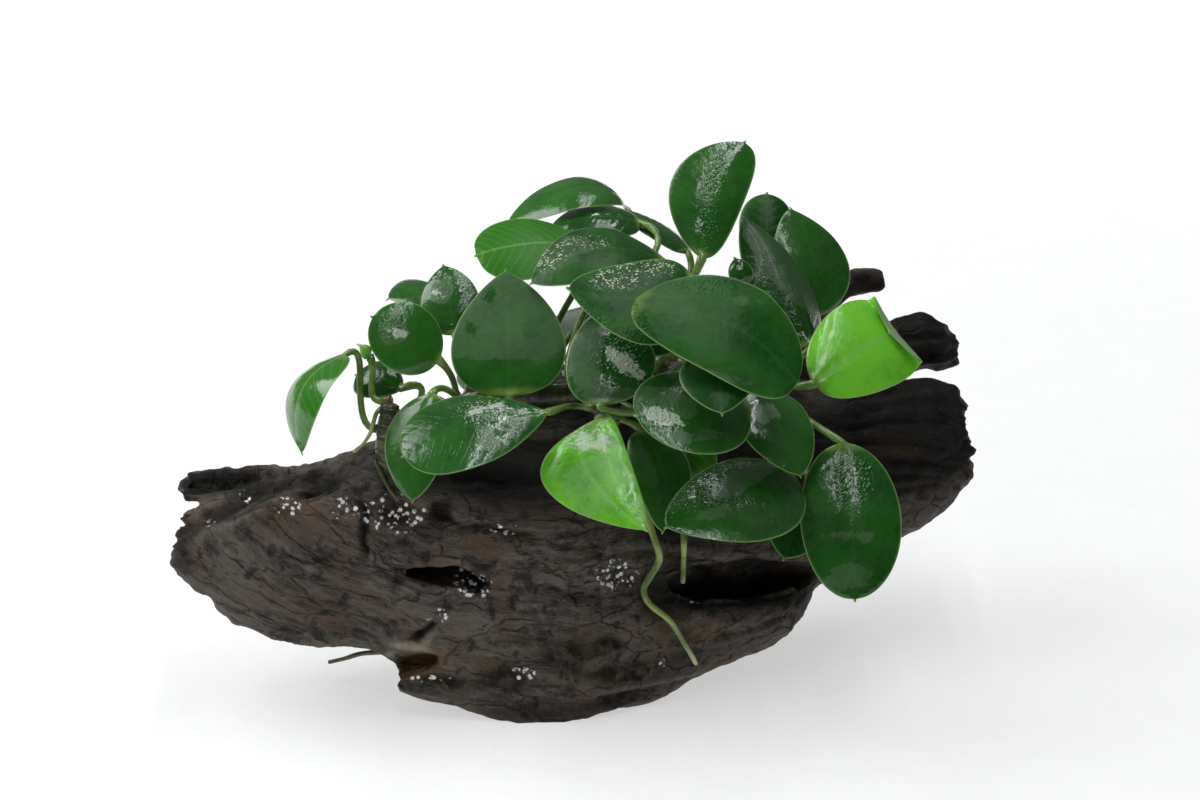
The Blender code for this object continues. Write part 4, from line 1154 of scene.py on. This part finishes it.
def grain_depths(places, flow, settings):
    """How deep the grain is weathered out at each place, in metres."""
    depths = np.empty(len(places))
    for index, (place, run) in enumerate(zip(places, flow, strict=True)):
        run = Vector(run)
        coarse = noise.noise(scaled(run, GRAIN_SIZE))
        medium = noise.noise(scaled(run, MEDIUM_GRAIN_SIZE) + MEDIUM_GRAIN_START)
        fine = noise.noise(scaled(run, FINE_GRAIN_SIZE))
        lump = noise.noise(scaled(Vector(place), LUMP_SIZE))
        ridged = 1 - 2 * abs(coarse)
        depth = settings.grain_depth * (MEDIUM_SHARE * medium - RIDGE_SHARE * ridged)
        crumble = noise.noise(scaled(run, CRUMBLE_SIZE))
        crumble += CRUMB_SHARE * noise.noise(Vector(place) / CRUMB_SIZE)
        depth += settings.fine_grain_depth * fine + settings.crumble_depth * crumble
        depths[index] = depth - settings.lump_height * lump
    return depths


def rag_ends(places):
    """Splinters the two broken ends, inwards only."""
    low, high = places[:, 0].min(), places[:, 0].max()
    for index, (x, y, z) in enumerate(places):
        for end, reach in ((low, x - low), (high, high - x)):
            if reach < END_REACH:
                spot = Vector((end / END_RAG_SIZE, y / END_RAG_SIZE, z / END_RAG_SIZE))
                cut = END_RAGS * max(0.0, noise.noise(spot) + END_RAG_BASE) * (1 - reach / END_REACH)
                places[index, 0] = x - math.copysign(cut, end)
    return places


def vectors_of(items, key):
    """A row for each item, of a vector that it has."""
    values = np.empty(len(items) * 3, np.float32)
    items.foreach_get(key, values)
    return values.reshape(-1, 3).astype(float)


def note_on(mesh, name, values, kind="FLOAT", key="value"):
    """Notes one value for each vertex."""
    note = mesh.attributes.new(name, kind, "POINT")
    note.data.foreach_set(key, values.astype(np.float32).ravel())


def make_driftwood(settings):
    mesh = rough_driftwood(settings)
    places = vectors_of(mesh.vertices, "co")
    normals = vectors_of(mesh.vertex_normals, "vector")
    right, down = to_view(places)
    facing = normals @ np.array(VIEW_TOWARDS)
    flow = places.copy()
    flow[:, 2] -= grain_height(places[:, 0])
    places += pulled(right, down)
    marks = mark_depths(right, down, facing)
    grain = grain_depths(places, flow, settings)
    places = rag_ends(places - normals * (marks + grain)[:, None])
    places[:, 2] = np.maximum(places[:, 2], 0)
    mesh.vertices.foreach_set("co", places.astype(np.float32).ravel())
    mesh.update()
    note_on(mesh, "wood_crevice", np.clip((marks + CREVICE_SHADE_GRAIN * grain) / MM * CREVICE_SHADE_PER_MM, 0, 1))
    for name, found in WOOD_PATCHES.items():
        weight = sum(patch_weight(right, down, patch) for patch in found)
        note_on(mesh, name, np.clip(weight * seen(facing), 0, 1))
    note_on(mesh, "wood_flow", flow, "FLOAT_VECTOR", "vector")
    mesh.name = "driftwood"
    finish(mesh, wood_finish(settings), "driftwood", *WOOD_PIECES)


# The creeping stems

def make_rhizome(name, limb, settings, material):
    """A ringed stem, lumpy where buds stand."""
    points = [Vector(place) * MM for place in limb.places]
    frames = path_frames(points, RHIZOME_RINGS)
    run = sum((b - a).length for a, b in zip(points, points[1:], strict=False))

    def place(ring, angle):
        centre, side, up = frames[ring]
        part = ring / (RHIZOME_RINGS - 1)
        radius = smooth(limb.radii, part * (len(limb.radii) - 1)) * MM
        radius *= math.sqrt(min(1.0, min(part, 1 - part) * RHIZOME_ROUNDING + RHIZOME_END_LEAST))
        outward = side * math.cos(angle) + up * math.sin(angle)
        wander = noise.noise(Vector((math.cos(angle), math.sin(angle), part * 6))) * SCAR_WANDER
        scar = math.cos(part * run / settings.ring_spacing * math.tau + wander)
        scar = max(0.0, scar) ** SCAR_SHARPNESS
        lump = noise.noise((centre + outward * radius) / RHIZOME_LUMP_SIZE)
        spot = centre + outward * (radius - SCAR_DEPTH * scar + RHIZOME_LUMPS * lump)
        return spot, {"stem_scar": scar}

    mesh = shaped_tube(name + "_ringed", RHIZOME_RINGS, RHIZOME_AROUND, place)
    finish(mesh, material, "rhizome", name)


# The leaves

def rhizome_start(rhizome, along, towards):
    """Where a stalk starts on a rhizome, and the way it sets out."""
    limb = RHIZOMES[rhizome]
    points = [Vector(place) * MM for place in limb.places]
    at = along * (len(points) - 1)
    centre = smooth(points, at)
    direction = path_direction(points, at)
    away = towards - centre
    away = (away - direction * away.dot(direction)).normalized()
    return centre + away * (smooth(limb.radii, at) * MM + STALK_GAP), away


class Stalk:
    """The curve of a leaf's stalk."""

    def __init__(self, leaf, base, axis):
        start, away = rhizome_start(leaf.rhizome, leaf.along, base)
        reach = (base - start).length
        arrive = (axis + (base - start).normalized()).normalized()
        lower_bend = start + away * reach * STALK_LOWER_BEND + Vector(leaf.sway) * MM
        upper_bend = base - arrive * reach * STALK_UPPER_BEND
        if leaf.elbow:
            upper_bend = base + from_view_axes(leaf.elbow) * MM
        self.points = (start, lower_bend, upper_bend, base)
        self.first = -STALK_SUNK / (3 * (lower_bend - start).length)

    def direction(self, at):
        return (bezier(self.points, at + STALK_AHEAD) - bezier(self.points, at - STALK_AHEAD)).normalized()


def blade_half_width(leaf, at):
    """Half the blade's width at a place along it."""
    low, high = leaf.fullness
    widest = low / (low + high)
    peak = widest**low * (1 - widest) ** high
    return leaf.width / 2 * MM * at**low * (1 - at) ** high / peak


def folded_over(beyond, turn):
    """Where a strip that bends by an angle and then runs straight lies: how far on, how far up, its angle."""
    radius = FLAP_BEND / turn
    angle = turn * min(1.0, beyond / FLAP_BEND)
    straight = max(0.0, beyond - FLAP_BEND)
    ahead = radius * math.sin(angle) + straight * math.cos(turn)
    return ahead, radius * (1 - math.cos(angle)) + straight * math.sin(turn), angle


def make_leaf(leaf, number, settings, material):
    """A leaf with its stalk, in one mesh: a round stalk that flattens into a grooved, veined, wavy blade."""
    base = from_view(leaf.base)
    tip = from_view(leaf.tip)
    axis = (tip - base).normalized()
    face = from_view_axes(leaf.faces)
    face = (face - axis * face.dot(axis)).normalized()
    side = axis.cross(face)
    run = (tip - base).length
    nib = NIB_LENGTH / run
    stalk = Stalk(leaf, base, axis)
    tint = leaf.shade + TINT_SPREAD * noise.noise(Vector((number * 1.7, 3.3, 9.1)))
    rings = settings.stalk_rings + settings.blade_rings

    def on_stalk(part, angle):
        at = stalk.first + (1 - stalk.first) * part
        centre = bezier(stalk.points, at)
        direction = stalk.direction(at)
        across = (side - direction * side.dot(direction)).normalized()
        outward = across.cross(direction)
        sheath = max(0.0, 1 - part / SHEATH_SHARE)
        radius = STALK_RADIUS + (SHEATH_RADIUS - STALK_RADIUS) * sheath**0.5
        radius_across = radius + (NECK_HALF_WIDTH - radius) * part**8
        spot = centre + across * (radius_across * math.cos(angle)) + outward * (radius * math.sin(angle))
        notes = {"leaf_across": OFF_BLADE, "leaf_along": 0.0, "leaf_edge": 0.0, "leaf_under": 0.0}
        notes.update({"leaf_stalk": 1.0, "leaf_sheath": sheath, "leaf_tint": tint})
        notes.update(dict.fromkeys(FILMS_AND_HIGHLIGHTS, 0.0))
        return spot, notes

    def spine(at):
        """The middle of the blade at a place along it, and which way it faces there."""
        first, degrees = leaf.flap
        lying = min(at, first)
        peak = leaf.bow / (1 + leaf.bow)
        bow = (lying / peak) ** leaf.bow * (1 - lying) / (1 - peak)
        centre = base.lerp(tip, lying) + face * (leaf.arch * MM * bow) + side * (leaf.bend * MM * bow)
        if at <= first:
            return centre, face
        ahead, up, turned = folded_over((at - first) * run, math.radians(degrees))
        return centre + axis * ahead + face * up, face * math.cos(turned) - axis * math.sin(turned)

    def on_blade(part, angle):
        at = (1 - math.cos(math.pi * part)) / 2
        centre, outward = spine(at)
        neck = max(0.0, 1 - at / NECK_SHARE)
        full = blade_half_width(leaf, min(1.0, at / (1 - nib)))
        point = NIB_HALF_WIDTH * min(1.0, (1 - at) / nib) ** 0.5
        half_width = max(full, NECK_HALF_WIDTH * neck, point, TIP_HALF_WIDTH)
        thickness = settings.thickness + (NECK_HALF_THICKNESS - settings.thickness) * neck**2
        thickness += (TIP_HALF_THICKNESS - settings.thickness) * at**4
        out = math.cos(angle)
        x = half_width * out
        cup = leaf.cup * MM * full / (leaf.width / 2 * MM)
        ridge = math.exp(-((x / MIDRIB_HALF_WIDTH) ** 2)) * (1 - at**3) * (1 - neck)
        over = math.sin(angle) >= 0
        groove = settings.midrib * ridge * (1.0 if over else MIDRIB_KEEL)
        sweep = abs(x) * (VEIN_SWEEP + VEIN_CURVE * abs(x) / MM)
        phase = (at * run - sweep) / settings.vein_spacing * math.tau
        quilt = settings.vein * -math.cos(phase) * (1 - ridge) * (1 - out**4)
        edge_side = math.copysign(1, out)
        wave = noise.noise(Vector((at * run / WAVE_SIZE, edge_side * 4, number * 5.3)))
        broad = Vector((x / WAVE_SIZE * BROAD_WAVE, at * run / WAVE_SIZE * BROAD_WAVE, number * 2.9))
        broad = BROAD_WAVE_SHARE * noise.noise(broad)
        lift = settings.wave * (wave * abs(out) ** 3 + broad) * min(1.0, 8 * at)
        up = thickness * math.sin(angle) + cup * abs(out) ** leaf.crease - groove + quilt + lift
        spot = centre + side * x + outward * up
        rim = min(half_width * (1 - abs(out)), run * (1 - at) + MM * neck)
        notes = {"leaf_across": x / MM, "leaf_along": at * run / MM, "leaf_tint": tint}
        notes["leaf_edge"] = math.exp(-((rim / EDGE_LINE) ** 2)) * (1 - neck)
        notes["leaf_under"] = 0.0 if over else 1.0
        notes["leaf_stalk"] = min(1.0, neck * 1.4)
        notes["leaf_sheath"] = 0.0
        for key, films_or_highlights in FILMS_AND_HIGHLIGHTS.items():
            notes[key] = film_or_highlight_at(films_or_highlights, leaf, spot) if over else 0.0
        return spot, notes

    def place(ring, angle):
        if ring < settings.stalk_rings:
            return on_stalk(ring / settings.stalk_rings, angle)
        return on_blade((ring - settings.stalk_rings) / (settings.blade_rings - 1), angle)

    mesh = shaped_tube(leaf.name + "_veined", rings, settings.around, place)
    finish(mesh, material, "young_leaf" if leaf.young else "mature_leaf", leaf.name)


def film_or_highlight_at(films_or_highlights, leaf, spot):
    """How much of a film, painted sheen or painted highlight lies at a place on a leaf."""
    found = films_or_highlights.get(leaf.name, ())
    if not found:
        return 0.0
    right, down = to_view(np.array([spot]))
    return float(min(1.0, max(0.0, sum(patch_weight(right, down, patch)[0] for patch in found))))


# The roots

def on_wood(surface, place):
    """The point off the wood that a root's place stands for."""
    px, py, off = place
    eye = VIEW_CENTRE + VIEW_TOWARDS * VIEW_DISTANCE
    sight = (from_view((px, py, 0)) - eye).normalized()
    hit, _, _, _ = surface.ray_cast(eye, sight)
    return hit - sight * (off * MM)


def make_root(name, points, number, material):
    """A thin root that wanders a little, swells and thins, and ends in a rounded pale tip."""
    frames = path_frames(points, ROOT_RINGS)

    def place(ring, angle):
        centre, side, up = frames[ring]
        part = ring / (ROOT_RINGS - 1)
        wander = Vector([noise.noise(centre / ROOT_WAVE_SIZE + start) for start in ROOT_WAVE_STARTS])
        swell = 1 + ROOT_SWELL * noise.noise(centre / ROOT_SWELL_SIZE + Vector((number, 0, 0)))
        ending = max(0.0, (part - (1 - ROOT_END_SHARE)) / ROOT_END_SHARE)
        rounded = math.sqrt(max(0.0, 1 - ending**2))
        radius = ROOT_RADIUS * ROOT_WIDTHS.get(name, 1.0) * (1 - ROOT_TAPER * part) * swell
        radius *= max(rounded, ROOT_END_LEAST)
        spot = centre + wander * ROOT_WAVE + (side * math.cos(angle) + up * math.sin(angle)) * radius
        age = ROOT_AGES.get(name, 0.0)
        return spot, {"root_tip": max(0.0, 1 - (1 - part) / ROOT_TIP_SHARE) * (1 - age), "root_age": age}

    mesh = shaped_tube(name + "_fine", ROOT_RINGS, ROOT_AROUND, place)
    finish(mesh, material, "root", name)


# The stage

class Lamp(NamedTuple):
    """A soft light: with one size a square that looks at the middle of the view, with two a tube that looks
    down."""

    name: str
    place: tuple
    size: tuple
    power: str
    mirrored: bool = True


TUBE_SIZE = (0.020, 0.90)
LAMPS = (
    Lamp("key", (-0.44, 0.14, 0.52), (0.42,), "key"),
    Lamp("tube_left", (0.02, 0.0, 0.62), TUBE_SIZE, "tube"),
    Lamp("tube_right", (0.12, 0.0, 0.62), TUBE_SIZE, "tube"),
    Lamp("fill", (-0.42, -0.46, 0.38), (0.45,), "fill", mirrored=False),
)
LAMP_COLOUR = (0.98, 0.99, 1.0)
FLOOR_SIZE = 3.0
# How far out the floor begins to glow more, and where it glows fully
GLOW_RISE = (0.10, 0.90)
# Where the room is brightest, from which side of it to which it brightens, and how bright it is at both
ROOM_BRIGHTEST = Vector((-0.45, 0.35, 0.82)).normalized()
ROOM_RISE = (-0.25, 0.95)
ROOM_BRIGHTNESS = (0.10, 1.0)


def make_light(lamp, watts):
    data = bpy.data.lights.new(lamp.name, "AREA")
    data.energy = watts
    data.color = LAMP_COLOUR
    data.size = lamp.size[0]
    light = in_scene(lamp.name, data)
    light.location = lamp.place
    light.visible_glossy = lamp.mirrored
    if len(lamp.size) == 2:
        data.shape = "RECTANGLE"
        data.size_y = lamp.size[1]
    else:
        light.rotation_euler = (Vector(lamp.place) - VIEW_CENTRE).to_track_quat("Z", "Y").to_euler()


def make_floor(settings):
    bm = bmesh.new()
    bmesh.ops.create_grid(bm, x_segments=1, y_segments=1, size=FLOOR_SIZE)
    mesh = as_mesh("floor", bm)
    white = Finish("pale_floor")
    place = white.place()
    shade = [part * 0.96 for part in settings.floor]
    tone = white.mix(white.between(white.noise(place, 12 * MM, 3.0), 0.3, 0.7), settings.floor, shade)
    normal = white.bumps((white.noise(place, 4 * MM, 3.0), 0.5 * MM, 0.5))
    outwards = white.add("VectorMath", {0: place}, "Value", operation="LENGTH")
    glow = white.between(outwards, *GLOW_RISE, settings.glow, 1.0)
    white.set(Base_Color=tone, Roughness=0.8, Normal=normal)
    white.set(Emission_Color=(*WHITE, 1), Emission_Strength=glow)
    mesh.materials.append(white.material)
    in_scene("floor", mesh)


def make_world(settings):
    """A white room: white to the camera, and brighter from above and behind than from the front."""
    world = bpy.data.worlds.new("white_room")
    bpy.context.scene.world = world
    room = Nodes(world)
    room.tree.nodes.clear()
    way = room.add("TexCoord", output="Generated")
    side = room.add("VectorMath", {0: way, 1: ROOM_BRIGHTEST}, "Value", operation="DOT_PRODUCT")
    strength = room.times(room.between(side, *ROOM_RISE, *ROOM_BRIGHTNESS), settings.sky)
    gloss = room.between(room.add("LightPath", output="Is Glossy Ray"), 0.0, 1.0, 1.0, settings.mirrored)
    light = room.add("Background", {"Strength": room.times(strength, gloss)})
    backdrop = room.add("Background", {"Strength": 1.0})
    to_camera = room.add("LightPath", output="Is Camera Ray")
    both = room.add("MixShader", {0: to_camera, 1: light, 2: backdrop})
    room.wire(room.tree.nodes.new("ShaderNodeOutputWorld"), {"Surface": both})


def make_camera():
    lens = bpy.data.cameras.new("photo_camera")
    lens.sensor_width = SENSOR_WIDTH
    lens.lens = SENSOR_WIDTH * VIEW_DISTANCE / FRAME_WIDTH
    lens.clip_start = 0.01
    camera = in_scene("photo_camera", lens)
    camera.location = VIEW_CENTRE + VIEW_TOWARDS * VIEW_DISTANCE
    camera.rotation_euler = (math.pi / 2 - VIEW_ELEVATION, 0, 0)
    bpy.context.scene.camera = camera


# The operators

class ANUBIAS_OT_driftwood(Operator):
    """Make the wet driftwood with its grain, cracks, hollows and ragged ends"""

    bl_idname = "anubias.driftwood"
    bl_label = "Driftwood"

    def execute(self, context):
        make_driftwood(context.scene.anubias_wood)
        return {"FINISHED"}


class ANUBIAS_OT_rhizomes(Operator):
    """Make the ringed creeping stems"""

    bl_idname = "anubias.rhizomes"
    bl_label = "Rhizomes"

    def execute(self, context):
        settings = context.scene.anubias_stems
        material = rhizome_finish(settings)
        for name, limb in RHIZOMES.items():
            make_rhizome(name, limb, settings, material)
        return {"FINISHED"}


class ANUBIAS_OT_leaves(Operator):
    """Make every leaf with its stalk"""

    bl_idname = "anubias.leaves"
    bl_label = "Leaves"

    def execute(self, context):
        settings = context.scene.anubias_leaves
        materials = {}
        for number, leaf in enumerate(LEAVES):
            name = ("young" if leaf.young else "mature") + ("_leaf_dull" if leaf.dull else "_leaf")
            if name not in materials:
                materials[name] = leaf_finish(name, settings, leaf.young, leaf.dull)
            make_leaf(leaf, number, settings, materials[name])
        return {"FINISHED"}


class ANUBIAS_OT_roots(Operator):
    """Make the roots, those on the wood laid onto its surface"""

    bl_idname = "anubias.roots"
    bl_label = "Roots"

    def execute(self, context):
        material = root_finish(context.scene.anubias_stems)
        graph = context.evaluated_depsgraph_get()
        surface = BVHTree.FromObject(bpy.data.objects["driftwood"], graph)
        paths = {}
        for name, places in WOOD_ROOTS.items():
            paths[name] = [on_wood(surface, place) for place in places]
        for name, places in FREE_ROOTS.items():
            paths[name] = [from_view(place) for place in places]
        for number, (name, points) in enumerate(paths.items()):
            make_root(name, points, number, material)
        return {"FINISHED"}


class ANUBIAS_OT_stage(Operator):
    """Make the pale floor, the white room, the soft lights and the camera"""

    bl_idname = "anubias.stage"
    bl_label = "Stage"

    def execute(self, context):
        settings = context.scene.anubias_stage
        make_floor(settings)
        make_world(settings)
        for lamp in LAMPS:
            make_light(lamp, getattr(settings, lamp.power))
        make_camera()
        context.scene.view_settings.view_transform = "Standard"
        return {"FINISHED"}


class ANUBIAS_PT_panel(Panel):
    """The anubias and its stage"""

    bl_label = "Anubias on Driftwood"
    bl_idname = "ANUBIAS_PT_panel"
    bl_space_type = "VIEW_3D"
    bl_region_type = "UI"
    bl_category = "Anubias"

    def draw(self, context):
        for operator, settings in STEPS:
            self.layout.operator(operator.bl_idname)
            box = self.layout.box()
            group = getattr(context.scene, settings)
            for name in group.__annotations__:
                box.prop(group, name)


SETTINGS = {
    "anubias_wood": WoodSettings,
    "anubias_leaves": LeafSettings,
    "anubias_stems": StemSettings,
    "anubias_stage": StageSettings,
}
STEPS = (
    (ANUBIAS_OT_driftwood, "anubias_wood"),
    (ANUBIAS_OT_rhizomes, "anubias_stems"),
    (ANUBIAS_OT_leaves, "anubias_leaves"),
    (ANUBIAS_OT_roots, "anubias_stems"),
    (ANUBIAS_OT_stage, "anubias_stage"),
)
CLASSES = (*SETTINGS.values(), *(operator for operator, _ in STEPS), ANUBIAS_PT_panel)


def register():
    for kind in CLASSES:
        bpy.utils.register_class(kind)
    for name, kind in SETTINGS.items():
        setattr(bpy.types.Scene, name, PointerProperty(type=kind))


def unregister():
    for name in SETTINGS:
        delattr(bpy.types.Scene, name)
    for kind in reversed(CLASSES):
        bpy.utils.unregister_class(kind)


def main():
    register()
    bpy.ops.anubias.driftwood()
    bpy.ops.anubias.rhizomes()
    bpy.ops.anubias.leaves()
    bpy.ops.anubias.roots()
    bpy.ops.anubias.stage()


if __name__ == "__main__":
    main()
